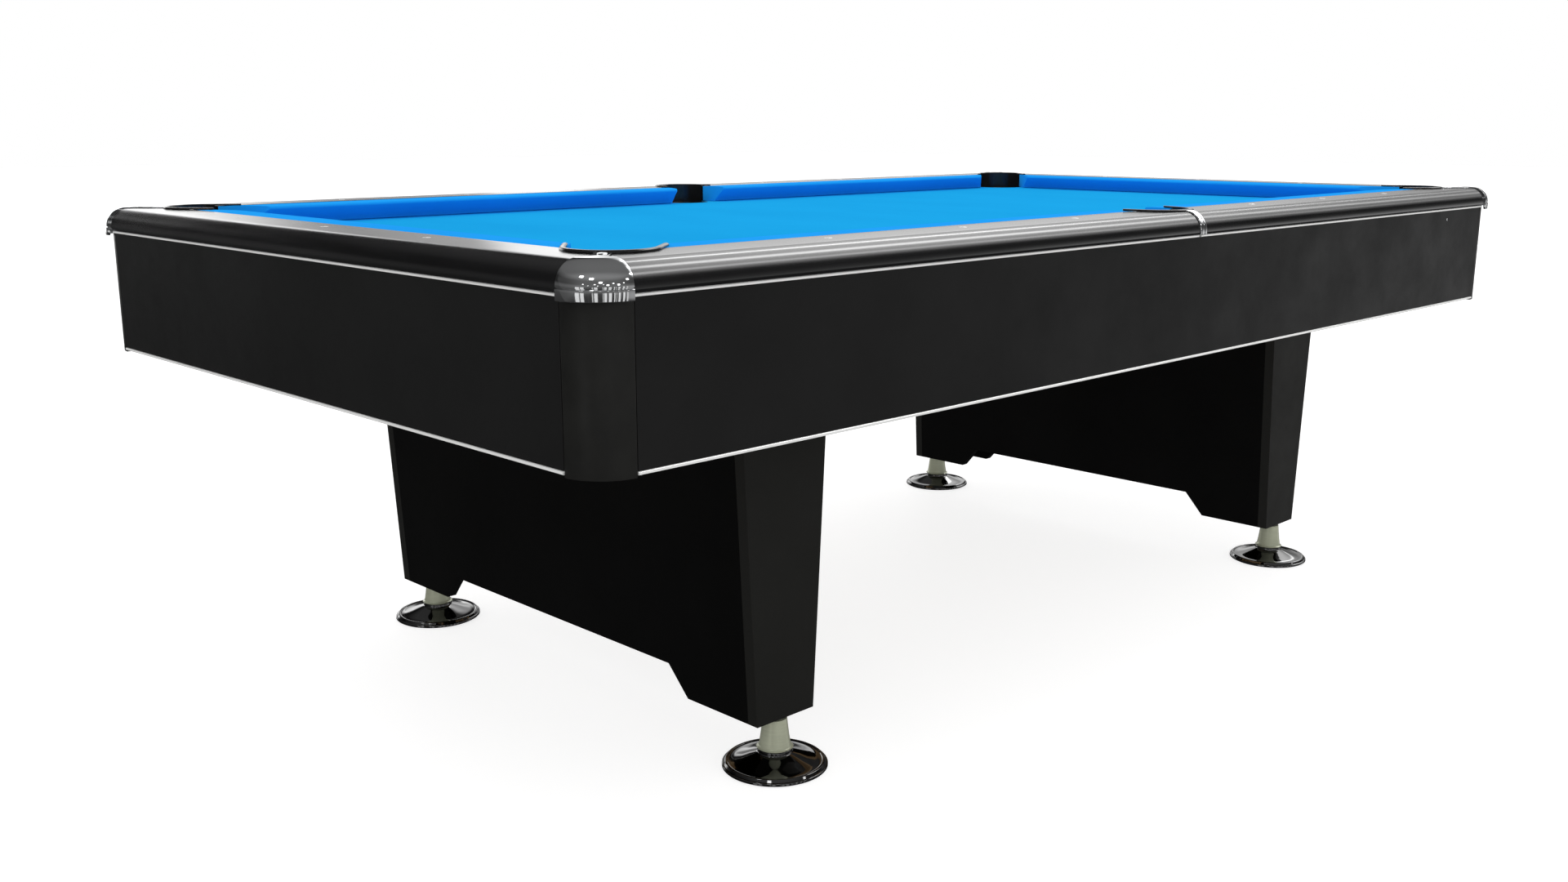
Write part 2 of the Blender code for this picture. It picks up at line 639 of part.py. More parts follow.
def stem_profile():
    """Threaded rod, flange nut, tapered collar and pivot."""
    collar_low, nut_high = HUB_Z + GAP, PEDESTAL_BOTTOM_Z - GAP
    rod = [(0.0, STEM_TOP_Z), (STEM_R - STEM_BEVEL, STEM_TOP_Z), (STEM_R, STEM_TOP_Z - STEM_BEVEL),
           (STEM_R, nut_high)]
    nut = [(NUT_R, nut_high), (NUT_R, COLLAR_TOP[1])]
    collar = [COLLAR_TOP, COLLAR_WAIST, (COLLAR_R, COLLAR_STEP_Z), (COLLAR_R, collar_low)]
    return rod + nut + collar + [(PIVOT_R, collar_low), (PIVOT_R, PIVOT_TIP_Z), (0.0, PIVOT_TIP_Z)]


def make_feet():
    for name, (sx, sy) in CORNERS.items():
        centre = (sx * FOOT_X, sy * FOOT_Y)
        turned(f"foot_base_{name}", base_profile(), centre, CHROME, 32)
        turned(f"foot_stem_{name}", stem_profile(), centre, CHROME, 16)


make_bed()
make_rails()
make_liners()
make_caps()
make_bands()
make_sides()
make_posts()
make_frame()
for pedestal, side_of_middle in (("left", -1), ("right", 1)):
    make_broad_panels(pedestal, side_of_middle)
    make_end_panels(pedestal, side_of_middle)
make_feet()
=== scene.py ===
"""Looks of the pool table: cloth, cushions, polished rails, chrome, feet and the hardware underneath."""
from math import acos, asin, atan2, copysign, cos, degrees, dist, hypot, pi, radians, sin, sqrt, tan

import bmesh
import bpy
from mathutils import Matrix, Vector


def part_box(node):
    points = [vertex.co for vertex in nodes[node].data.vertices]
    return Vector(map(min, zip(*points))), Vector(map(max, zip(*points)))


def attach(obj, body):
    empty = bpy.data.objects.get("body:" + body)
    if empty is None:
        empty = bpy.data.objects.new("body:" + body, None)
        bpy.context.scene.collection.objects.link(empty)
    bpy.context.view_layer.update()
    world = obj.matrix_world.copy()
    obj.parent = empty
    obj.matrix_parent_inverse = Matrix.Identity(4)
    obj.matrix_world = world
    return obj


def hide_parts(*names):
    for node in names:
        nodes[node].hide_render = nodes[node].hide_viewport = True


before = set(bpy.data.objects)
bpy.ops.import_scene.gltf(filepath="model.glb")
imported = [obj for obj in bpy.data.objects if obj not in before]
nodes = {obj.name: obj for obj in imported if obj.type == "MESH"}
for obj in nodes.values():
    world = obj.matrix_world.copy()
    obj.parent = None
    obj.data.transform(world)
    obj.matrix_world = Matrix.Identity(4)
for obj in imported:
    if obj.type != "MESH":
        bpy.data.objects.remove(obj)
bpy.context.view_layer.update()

# ---- sizes read from the frame ----
CORNERS = {"front_left": (-1, -1), "front_right": (1, -1), "back_right": (1, 1), "back_left": (-1, 1)}
SIDES = {"left": (-1, 0), "right": (1, 0), "front": (0, -1), "back": (0, 1)}

HALF_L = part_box("apron_right")[1][0]
HALF_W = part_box("apron_back")[1][1]
BED_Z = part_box("bed_cloth")[1][2]
RAIL_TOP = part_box("end_rail_right")[1][2]
RAIL_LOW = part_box("end_rail_right")[0][2]
RAIL_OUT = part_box("end_rail_right")[1][0]
NOSE_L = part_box("end_cushion_right")[0][0]
NOSE_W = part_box("side_cushion_back_left")[0][1]
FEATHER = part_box("end_cushion_right")[1][0] - NOSE_L
SLATE_L, SLATE_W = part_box("slate")[1][:2]
SLATE_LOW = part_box("slate")[0][2]
FLANGE_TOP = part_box("pocket_liner_front_side")[1][2]
CUP_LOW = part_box("pocket_liner_front_side")[0][2]
CAP_LOW, CAP_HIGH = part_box("corner_cap_back_right")
APRON_IN_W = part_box("apron_back")[0][1]
APRON_IN_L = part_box("apron_right")[0][0]
FRAME_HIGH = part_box("cabinet_frame")[1]
FRAME_LOW_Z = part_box("cabinet_frame")[0][2]
FOOT_LOW, FOOT_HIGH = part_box("foot_base_back_right")
STEM_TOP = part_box("foot_stem_back_right")[1][2]
PEDESTAL_LOW_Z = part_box("pedestal_right_outer_panel")[0][2]

RAIL_W = HALF_L - NOSE_L
LIP = RAIL_OUT - HALF_L
ROUND_START = 0.128            # nose to where the rail top starts to round over
ROUND_END_Z = 0.7840           # foot of the rounding
RAIL_STEP = 0.104              # nose to the rebate over the slate's edge
POCKET_R = 0.054
CORNER_MOUTH, CORNER_SHELF, CORNER_HORN = 0.127, 0.044, 0.055
SIDE_MOUTH, SIDE_SHELF, SIDE_HORN = 0.140, 0.012, 0.044
FLANGE_W = 0.0078
WALL = 0.003
HAIR = 0.0003                  # clearance between pieces that touch
CLEAR = 0.02                   # how far a cutter runs past what it cuts
POST_IN = HALF_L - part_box("lower_trim_back")[1][0] - HAIR
CAP_IN = HALF_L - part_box("upper_trim_back")[1][0] - HAIR
SKIRT_TOP = 0.7865             # step between a corner cap's dome and its skirt
COLLAR_TOP = 0.0785
SHEET_STEEL = 0.0022
AXIS_R = 0.0001                # innermost radius of a turned profile that ends on its axis
ROOT2 = sqrt(2)


# ---- node materials ----
class Nodes:
    """Short calls that build a node tree."""

    def __init__(self, tree):
        self.tree = tree

    def node(self, kind, inputs=(), **values):
        """Adds a node with its first sockets' sources or values in order, and its other settings by name."""
        made = self.tree.nodes.new(kind)
        for key, value in values.items():
            if key in made.inputs:
                made.inputs[key].default_value = value
            else:
                setattr(made, key, value)
        for socket, source in zip(made.inputs, inputs):
            if isinstance(source, bpy.types.NodeSocket):
                self.link(source, socket)
            elif source is not None:
                socket.default_value = source
        return made

    def link(self, source, target):
        self.tree.links.new(source, target)

    def maths(self, operation, *inputs):
        return self.node("ShaderNodeMath", inputs, operation=operation).outputs[0]


class Finish(Nodes):
    """A Principled material and short calls that add its procedural detail."""

    def __init__(self, name, colour, roughness, metallic=0.0, **constants):
        self.mat = bpy.data.materials.new(name)
        self.mat.use_nodes = True
        super().__init__(self.mat.node_tree)
        self.shader = self.tree.nodes["Principled BSDF"]
        self.set("Base Color", (*colour, 1.0))
        self.set("Roughness", roughness)
        self.set("Metallic", metallic)
        for socket, value in constants.items():
            self.set(socket.replace("_", " "), value)
        self.coords = self.node("ShaderNodeTexCoord").outputs["Object"]

    def set(self, socket, value):
        self.shader.inputs[socket].default_value = value

    def scaled(self, stretch):
        return self.node("ShaderNodeMapping", (self.coords,), Scale=stretch).outputs["Vector"]

    def noise(self, scale, detail=4.0, stretch=(1, 1, 1), roughness=0.55):
        made = self.node("ShaderNodeTexNoise", (self.scaled(stretch),), Scale=scale, Detail=detail,
                         Roughness=roughness)
        return made.outputs["Fac"]

    def cells(self, scale):
        return self.node("ShaderNodeTexVoronoi", (self.coords,), Scale=scale).outputs["Distance"]

    def split(self, axis):
        return self.node("ShaderNodeSeparateXYZ", (self.coords,)).outputs[axis]

    def threads(self, pitch, axis):
        """Rounded threads of a weave, running across the given axis."""
        return self.maths("SINE", self.maths("MULTIPLY", self.split(axis), 2 * pi / pitch))

    def range(self, source, low, high, start=0.3, end=0.7):
        return self.node("ShaderNodeMapRange", (source, start, end, low, high)).outputs["Result"]

    def blend(self, source, first, second, start=0.3, end=0.7):
        ramp = self.node("ShaderNodeValToRGB", (source,))
        for element, position, colour in zip(ramp.color_ramp.elements, (start, end), (first, second)):
            element.position = position
            element.color = (*colour, 1.0)
        return ramp.outputs["Color"]

    def mixed(self, first, second, factor, **settings):
        """The first source blended towards the second by a factor, which may be a source too."""
        made = self.node("ShaderNodeMix", **settings)
        for source, socket in ((factor, "Factor"), (first, "A"), (second, "B")):
            if isinstance(source, bpy.types.NodeSocket):
                self.link(source, made.inputs[socket])
            else:
                made.inputs[socket].default_value = source
        return made.outputs["Result"]

    def darkened(self, base, shade, factor):
        return self.mixed(base, shade, factor, data_type="RGBA", blend_type="MULTIPLY")

    def add(self, first, second, weight):
        return self.maths("MULTIPLY_ADD", second, weight, first)

    def colour(self, source):
        self.link(source, self.shader.inputs["Base Color"])

    def rough(self, source):
        self.link(source, self.shader.inputs["Roughness"])

    def bump(self, source, strength, distance):
        made = self.node("ShaderNodeBump", Strength=strength, Distance=distance)
        self.link(source, made.inputs["Height"])
        self.link(made.outputs["Normal"], self.shader.inputs["Normal"])


def grey(value):
    return (value, value, value)


def black_laminate(name, dark, light, low_rough, high_rough, gloss):
    """Melamine-faced board: faint cloudy tone, uneven sheen and a fine pebbled skin."""
    grain = 650.0
    f = Finish(name, dark, low_rough, Specular_IOR_Level=gloss)
    cloud = f.noise(3.5, 5.0)
    f.colour(f.blend(cloud, dark, light))
    sheen = f.add(f.noise(9.0, 6.0), f.noise(60.0, 3.0), 0.25)
    f.rough(f.range(sheen, low_rough, high_rough, 0.35, 0.85))
    f.bump(f.add(f.cells(grain), f.noise(grain * 1.7, 2.0), 0.5), 0.10, 0.0003)
    return f.mat


def polished_rail():
    """Sprayed and polished rail: long faint streaks, light haze and tiny orange peel."""
    f = Finish("rail_black", (0.004, 0.004, 0.0042), 0.16, Specular_IOR_Level=1.0)
    streak = f.noise(14.0, 5.0, (0.25, 0.25, 3.0))
    f.colour(f.blend(streak, (0.003, 0.003, 0.0032), (0.0055, 0.0055, 0.0058)))
    f.rough(f.range(f.add(streak, f.noise(120.0, 3.0), 0.3), 0.13, 0.20, 0.4, 0.9))
    f.bump(f.noise(260.0, 2.0), 0.03, 0.0002)
    return f.mat


def woven_cloth(name, dark, light):
    """Worsted billiard cloth: a close weave under a short nap, with faint brushed shading."""
    f = Finish(name, dark, 0.92, Sheen_Weight=0.02, Sheen_Roughness=0.5, Specular_IOR_Level=0.0)
    f.set("Sheen Tint", (0.55, 0.8, 1.0, 1.0))
    nap = f.noise(5.0, 6.0, (1.0, 0.35, 1.0))
    fibre = f.noise(1400.0, 3.0, (1.0, 0.45, 1.0))
    shade = f.blend(fibre, (0.86, 0.90, 0.95), grey(1.0))
    f.colour(f.darkened(f.blend(nap, dark, light), shade, 0.6))
    weave = f.add(f.threads(0.00055, 0), f.threads(0.00070, 1), 0.8)
    f.bump(f.add(f.add(fibre, weave, 0.16), f.noise(90.0, 3.0), 0.4), 0.35, 0.0003)
    return f.mat


def bright_metal(name, colour, low_rough, high_rough, smear=(1, 1, 1), scale=40.0, bump=0.01,
                 metallic=1.0):
    """Plated or drawn metal: the haze of wiping, fine lines along the smear and a slight ripple."""
    f = Finish(name, colour, low_rough, metallic)
    haze = f.noise(scale, 6.0, smear)
    f.rough(f.range(haze, low_rough, high_rough, 0.35, 0.75))
    soft = tuple(0.92 * c for c in colour)
    f.colour(f.blend(f.noise(scale * 0.4, 3.0, smear), soft, colour))
    f.bump(f.noise(scale * 5, 3.0, smear), bump, 0.0002)
    return f.mat


def moulded_plastic(name, dark, light, low_rough, high_rough, grain=1500.0, gloss=0.5):
    f = Finish(name, dark, low_rough, Specular_IOR_Level=gloss)
    f.colour(f.blend(f.noise(18.0, 4.0), dark, light))
    f.rough(f.range(f.noise(45.0, 5.0), low_rough, high_rough, 0.35, 0.7))
    f.bump(f.noise(grain, 2.0), 0.12, 0.0002)
    return f.mat


def honed_slate():
    f = Finish("honed_slate", (0.09, 0.10, 0.105), 0.6)
    veins = f.noise(7.0, 9.0, (1.0, 2.2, 6.0), 0.7)
    f.colour(f.blend(veins, (0.055, 0.062, 0.068), (0.15, 0.158, 0.16), 0.35, 0.68))
    f.rough(f.range(veins, 0.5, 0.75))
    f.bump(f.add(f.noise(240.0, 5.0), f.cells(60.0), 0.4), 0.25, 0.0005)
    return f.mat


def planed_pine(name, stretch, joists=None):
    """Softwood with its grain along the axis of the smallest stretch.

    joists gives the y where the beams begin and the stretch of the joists between them.
    """
    f = Finish(name, (0.6, 0.4, 0.2), 0.55)
    if joists:
        beam_y, inner = joists
        beam = f.maths("GREATER_THAN", f.maths("ABSOLUTE", f.split("Y")), beam_y)
        f.coords = f.mixed(f.scaled(inner), f.scaled(stretch), beam, data_type="VECTOR")
        stretch = (1, 1, 1)
    rings = f.noise(26.0, 4.0, stretch, 0.6)
    fine = f.noise(320.0, 3.0, stretch)
    base = f.blend(rings, (0.70, 0.50, 0.29), (0.47, 0.29, 0.13), 0.40, 0.62)
    f.colour(f.darkened(base, f.blend(fine, (0.80, 0.76, 0.70), grey(1.0)), 0.7))
    f.rough(f.range(fine, 0.5, 0.7))
    f.bump(f.add(rings, fine, 0.5), 0.2, 0.0005)
    return f.mat


def pearl():
    f = Finish("sight_pearl", (0.72, 0.72, 0.70), 0.25, Coat_Weight=0.6, Coat_Roughness=0.08)
    swirl = f.noise(260.0, 5.0, (1.0, 0.6, 1.0), 0.6)
    f.colour(f.blend(swirl, (0.50, 0.52, 0.55), (0.85, 0.84, 0.80), 0.35, 0.65))
    f.rough(f.range(swirl, 0.2, 0.35))
    return f.mat


LAMINATE = black_laminate("cabinet_black", grey(0.006), grey(0.009), 0.36, 0.50, 0.15)
# The pedestals are one black laminate in two copies: the broad panels are made darker as painted shade, and
# the end panels lighter as painted light.
PEDESTAL = black_laminate("pedestal_black_painted_shade", grey(0.002), grey(0.003), 0.40, 0.54, 0.08)
PEDESTAL_END_PAINTED_LIGHT = black_laminate("pedestal_end_black_painted_light", (0.010, 0.010, 0.009), (0.013, 0.013, 0.012),
                              0.42, 0.56, 0.12)
RAIL = polished_rail()
BED = woven_cloth("bed_blue", (0.006, 0.345, 0.74), (0.008, 0.375, 0.78))
# The cushion cloth is the bed cloth in a bluer copy; its extra blue is painted light on the cushions' shaded
# faces.
CUSHION_PAINTED_LIGHT = woven_cloth("cushion_blue_painted_light", (0.011, 0.325, 0.87), (0.014, 0.36, 0.92))
CHROME = bright_metal("polished_chrome", (0.82, 0.83, 0.84), 0.03, 0.10)
FOOT_CHROME = bright_metal("foot_chrome", grey(0.14), 0.04, 0.11)
TRIM = bright_metal("bright_trim", (0.92, 0.92, 0.91), 0.16, 0.28, (0.05, 0.05, 6.0), 90.0, 0.04, 0.3)
COLLAR = bright_metal("brushed_collar", (0.46, 0.48, 0.36), 0.28, 0.42, (1, 1, 14), 60.0, 0.10, 0.35)
ZINC = bright_metal("zinc_plate", (0.62, 0.62, 0.60), 0.25, 0.45, (1, 1, 1), 70.0, 0.06)
LINER = moulded_plastic("liner_black", grey(0.006), grey(0.010), 0.16, 0.26)
POST = moulded_plastic("post_black", (0.007, 0.007, 0.0065), (0.0105, 0.0105, 0.0095), 0.34, 0.46,
                       900.0, 0.25)
RUBBER = moulded_plastic("foot_rubber", grey(0.012), grey(0.022), 0.7, 0.85, 700.0)
SLATE = honed_slate()
ALONG_X, ALONG_Y = (0.12, 2.0, 2.0), (2.0, 0.12, 2.0)
PINE_X = planed_pine("pine_along_x", ALONG_X)
PINE_Y = planed_pine("pine_along_y", ALONG_Y)
FRAME_PINE = planed_pine("frame_pine", ALONG_X, (FRAME_HIGH[1] - 0.039, ALONG_Y))
PEARL = pearl()


# ---- mesh helpers ----
def paint(obj, material):
    obj.data.materials.clear()
    obj.data.materials.append(material)


def piece(obj, material, body="table", replaces=(), angle=35.0):
    """Dresses a finished object: its material and body, and the CAD nodes that it stands for."""
    paint(obj, material)
    for face in obj.data.polygons:
        face.use_smooth = True
    obj.data.set_sharp_from_angle(angle=radians(angle))
    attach(obj, body)
    if replaces:
        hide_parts(*replaces)
    return obj


def linked(name, mesh):
    obj = bpy.data.objects.new(name, mesh)
    bpy.context.scene.collection.objects.link(obj)
    return obj


def tidy(mesh):
    """Merges doubled points and turns every face outward."""
    shape = bmesh.new()
    shape.from_mesh(mesh)
    bmesh.ops.remove_doubles(shape, verts=shape.verts, dist=1e-6)
    bmesh.ops.recalc_face_normals(shape, faces=shape.faces)
    shape.to_mesh(mesh)
    shape.free()


def loft(name, rings, closed=False):
    """Skin over rings of equally many points; the end rings are filled unless the skin closes on itself."""
    count = len(rings[0])
    points = [tuple(p) for ring in rings for p in ring]
    faces = []
    for i in range(len(rings) if closed else len(rings) - 1):
        a, b = i * count, ((i + 1) % len(rings)) * count
        for j in range(count):
            k = (j + 1) % count
            faces.append((a + j, a + k, b + k, b + j))
    if not closed:
        faces.append(tuple(range(count))[::-1])
        faces.append(tuple(range((len(rings) - 1) * count, len(rings) * count)))
    mesh = bpy.data.meshes.new(name)
    mesh.from_pydata(points, [], faces)
    tidy(mesh)
    return linked(name, mesh)


def swung(name, profile, centre, angles, closed=False):
    """A closed profile of (radius, height) carried round the vertical through centre."""
    x, y = centre
    rings = [[(x + r * cos(a), y + r * sin(a), z) for r, z in profile] for a in angles]
    return loft(name, rings, closed)


def turned(name, profile, centre=(0.0, 0.0), steps=96):
    """The same, all the way round."""
    return swung(name, profile, centre, [2 * pi * i / steps for i in range(steps)], closed=True)


def prism(name, outline, low, high):
    return loft(name, [[(x, y, low) for x, y in outline], [(x, y, high) for x, y in outline]])


def arc(cx, cy, radius, start, end, steps, radius_y=None):
    radius_y = radius if radius_y is None else radius_y
    angles = [radians(start + (end - start) * i / steps) for i in range(steps + 1)]
    return [(cx + radius * cos(a), cy + radius_y * sin(a)) for a in angles]


def rounded_box(name, low, high, width):
    """A board or plate with eased edges."""
    (x0, y0, z0), (x1, y1, z1) = low, high
    return eased(prism(name, [(x0, y0), (x1, y0), (x1, y1), (x0, y1)], z0, z1), width)


def bevel(obj, width, segments=2, angle=30.0):
    mod = obj.modifiers.new("ease", "BEVEL")
    mod.width = width
    mod.segments = segments
    mod.limit_method = "ANGLE"
    mod.angle_limit = radians(angle)


def eased(obj, width, segments=2, angle=30.0):
    """Rounds the sharp edges of a mesh for good."""
    bevel(obj, width, segments, angle)
    return applied(obj)


def applied(obj):
    graph = bpy.context.evaluated_depsgraph_get()
    mesh = bpy.data.meshes.new_from_object(obj.evaluated_get(graph))
    obj.modifiers.clear()
    old = obj.data
    obj.data = mesh
    bpy.data.meshes.remove(old)
    return obj


def carve(obj, *tools, operation="DIFFERENCE"):
    for tool in tools:
        mod = obj.modifiers.new("carve", "BOOLEAN")
        mod.operation = operation
        mod.object = tool
    bpy.context.view_layer.update()
    return applied(obj)


def drop(*tools):
    for tool in tools:
        bpy.data.objects.remove(tool, do_unlink=True)


def joined(name, *parts):
    """Several closed shells of one moulding or casting, kept as one object."""
    shape = bmesh.new()
    for part in parts:
        part.data.transform(part.matrix_world)
        shape.from_mesh(part.data)
    mesh = bpy.data.meshes.new(name)
    shape.to_mesh(mesh)
    shape.free()
    drop(*parts)
    return linked(name, mesh)


def mesh_of(obj):
    """Takes a finished shape's mesh, which many objects then share."""
    mesh = obj.data
    drop(obj)
    return mesh


def along_side(side, run, depth, z):
    """A point beside one side of the table: along it, outward from the nose line, and up."""
    nx, ny = SIDES[side]
    nose = NOSE_L if nx else NOSE_W
    return (nx * (nose + depth) + ny * run, ny * (nose + depth) - nx * run, z)


def bar(name, side, section, ends):
    """A straight length of one section beside a side of the table."""
    return loft(name, [[along_side(side, run, d, z) for d, z in section] for run in ends])


# ---- pocket geometry, as in the frame ----
class Pocket:
    """A pocket in plan: depth runs outward from the middle of its mouth, and half is the distance aside."""

    def __init__(self, name, mouth, half_mouth, shelf, horn, angle):
        self.name, self.mouth, self.half_mouth = name, mouth, half_mouth
        self.horn, self.angle = horn, angle
        self.corner = name in CORNERS
        self.deep = shelf + POCKET_R
        reach = hypot(self.deep, half_mouth)
        self.taper = atan2(half_mouth, self.deep) - asin(POCKET_R / reach)
        self.feather = FEATHER * ROOT2 / (1 - tan(self.taper)) if self.corner else FEATHER
        self.centre = self.at(self.deep, 0.0)

    def at(self, depth, half):
        c, s = cos(self.angle), sin(self.angle)
        return (self.mouth[0] + depth * c - half * s, self.mouth[1] + depth * s + half * c)

    def facing(self, depth, offset):
        return (depth, self.half_mouth - depth * tan(self.taper) + offset / cos(self.taper))

    def stations(self, start, steps=48):
        """Points on the throat with their outward normals, from one facing round the back to the other."""
        turn = pi / 2 - self.taper
        end = (self.deep + POCKET_R * cos(turn), POCKET_R * sin(turn))
        first = self.facing(start, 0.0)
        normal = (sin(self.taper), cos(self.taper))
        straight = 6
        out = []
        for i in range(straight):
            t = i / straight
            out.append(((first[0] + (end[0] - first[0]) * t, first[1] + (end[1] - first[1]) * t), normal))
        for i in range(steps + 1):
            a = turn - 2 * turn * i / steps
            n = (cos(a), sin(a))
            out.append(((self.deep + POCKET_R * n[0], POCKET_R * n[1]), n))
        out += [((p[0], -p[1]), (n[0], -n[1])) for p, n in out[:straight][::-1]]
        return out

    def hole(self, offset):
        """Outline of the throat, opened outward by offset and run out past the cushion noses."""
        path = [(p[0] + n[0] * offset, p[1] + n[1] * offset) for p, n in self.stations(-0.03)]
        return [self.at(*p) for p in path]


POCKETS = {}
INSET = CORNER_MOUTH / 2 / ROOT2
for corner, (sx, sy) in CORNERS.items():
    mouth = (sx * (NOSE_L - INSET), sy * (NOSE_W - INSET))
    POCKETS[corner] = Pocket(corner, mouth, CORNER_MOUTH / 2, CORNER_SHELF, CORNER_HORN, atan2(sy, sx))
for side, sy in (("front", -1), ("back", 1)):
    name = f"{side}_side"
    POCKETS[name] = Pocket(name, (0.0, sy * NOSE_W), SIDE_MOUTH / 2, SIDE_SHELF, SIDE_HORN, sy * pi / 2)


# ---- rails ----
def rail_section():
    edge = RAIL_W + LIP
    drop_in = edge - ROUND_START
    inner = FEATHER + HAIR
    groove = arc(inner + 0.0012, RAIL_TOP - 0.0012, 0.0012, 180, 90, 4)
    bullnose = arc(ROUND_START, ROUND_END_Z, drop_in, 90, 0, 30, RAIL_TOP - ROUND_END_Z)
    heel = arc(edge - 0.0028, RAIL_LOW + 0.0014, 0.0014, -30, -90, 3)
    rebate = [(RAIL_STEP, RAIL_LOW), (RAIL_STEP, BED_Z + HAIR), (inner, BED_Z + HAIR)]
    return groove + bullnose + heel + rebate


def mitre_tool(corner, side):
    """The neighbour's half of the corner square, which a rail leaves free."""
    sx, sy = CORNERS[corner]
    reach, beyond, lift = 0.12, 0.01, HAIR / 2
    if side in ("front", "back"):
        steps = [(0, 0), (sx * beyond, 0), (sx * beyond, -sy * reach), (-sx * reach, -sy * reach)]
        shift = (-sx * lift, sy * lift)
    else:
        steps = [(0, 0), (0, sy * beyond), (-sx * reach, sy * beyond), (-sx * reach, -sy * reach)]
        shift = (sx * lift, -sy * lift)
    cx = sx * (HALF_L - CAP_IN) + shift[0]
    cy = sy * (HALF_W - CAP_IN) + shift[1]
    return prism("mitre_tool", [(cx + x, cy + y) for x, y in steps], RAIL_LOW - CLEAR, RAIL_TOP + CLEAR)


def make_rails():
    holes = {name: prism("hole_tool", pocket.hole(WALL + HAIR), RAIL_LOW - CLEAR, RAIL_TOP + CLEAR)
             for name, pocket in POCKETS.items()}
    for side in ("left", "right"):
        ends = [name for name, signs in CORNERS.items() if signs[0] == SIDES[side][0]]
        half = HALF_W - CAP_IN - HAIR
        rail = bar(f"rail_end_{side}", side, rail_section(), (-half, half))
        mitres = [mitre_tool(name, side) for name in ends]
        carve(rail, *(holes[name] for name in ends), *mitres)
        drop(*mitres)
        piece(rail, RAIL, replaces=[f"end_rail_{side}"])
    for corner, (sx, sy) in CORNERS.items():
        side = "front" if sy < 0 else "back"
        far = HALF_L - CAP_IN - HAIR
        ends = sorted((sx * sy * HAIR, sx * sy * far))
        rail = bar(f"rail_side_{corner}", side, rail_section(), ends)
        mitre = mitre_tool(corner, side)
        carve(rail, holes[corner], holes[f"{side}_side"], mitre)
        drop(mitre)
        piece(rail, RAIL, replaces=[f"side_rail_{corner}"])
    drop(*holes.values())


# ---- cushions ----
def cushion_section():
    """Cloth over the rubber: a gently crowned top, a tight nose and an undercut face."""
    top = RAIL_TOP
    rise, count, spacing = 0.0005, 8, 0.0064
    crown = [(FEATHER - 0.0008 - i * spacing, top - 0.0006 + rise * sin(pi * i / count))
             for i in range(count)]
    nose = arc(0.0042, top - 0.0050, 0.0042, 80, 214, 12)
    face = [(0.0105, BED_Z + 0.0180), (0.0165, BED_Z + 0.0110), (0.0225, BED_Z + 0.0052)]
    toe = arc(0.0262, BED_Z + 0.0030, 0.0024, 200, 270, 4)
    back = [(FEATHER - 0.0006, BED_Z + 0.0006), (FEATHER, BED_Z + 0.0012), (FEATHER, top - 0.0012)]
    return crown + nose + face + toe + back


def make_cushion(name, side, first, second, node):
    """A run of cushion between two end functions of the depth behind the nose."""
    section = cushion_section()
    steps = 48
    rings = []
    for i in range(steps + 1):
        t = i / steps
        rings.append([along_side(side, first(d) + (second(d) - first(d)) * t, d, z) for d, z in section])
    cushion = loft(name, rings)
    eased(cushion, 0.0016, 3, 50.0)
    piece(cushion, CUSHION_PAINTED_LIGHT, replaces=[node], angle=50.0)


def make_cushions():
    taper = POCKETS["front_left"].taper
    corner_slope = tan(pi / 4 + taper)
    side_slope = tan(POCKETS["front_side"].taper)
    cut = CORNER_MOUTH / ROOT2
    for side in ("left", "right"):
        def reach(depth):
            return NOSE_W - cut + depth * corner_slope
        make_cushion(f"cushion_end_{side}", side, lambda d: -reach(d), reach, f"end_cushion_{side}")
    for corner, (sx, sy) in CORNERS.items():
        side = "front" if sy < 0 else "back"
        turn = sx * sy
        inner = lambda d, turn=turn: turn * (SIDE_MOUTH / 2 - d * side_slope)
        outer = lambda d, turn=turn: turn * (NOSE_L - cut + d * corner_slope)
        make_cushion(f"cushion_side_{corner}", side, inner, outer, f"side_cushion_{corner}")


# ---- bed ----
def bed_outline(radius):
    """Anticlockwise outline of the cloth, and for each point its pocket if it lies on that pocket's edge."""
    outline = []

    def notch(pocket, start, steps=40):
        sweep = 360 - 2 * start
        for i in range(steps + 1):
            a = radians(-start - sweep * i / steps)
            outline.append((pocket.at(pocket.deep + radius * cos(a), radius * sin(a)), pocket))

    def edge_point(pocket, half):
        """Where a corner notch's straight side meets the edge of the slate."""
        c, s = cos(pocket.angle), sin(pocket.angle)
        x, y = pocket.at(0.0, half)
        reach = min((copysign(SLATE_L, c) - x) / c, (copysign(SLATE_W, s) - y) / s)
        outline.append(((x + reach * c, y + reach * s), None))

    edge_angle = degrees(acos((SLATE_W - NOSE_W - POCKETS["front_side"].deep) / radius))
    for name in ("front_left", "front_side", "front_right", "back_right", "back_side", "back_left"):
        pocket = POCKETS[name]
        if pocket.corner:
            edge_point(pocket, -radius)
            notch(pocket, 90)
            edge_point(pocket, radius)
        else:
            notch(pocket, edge_angle)
    return outline


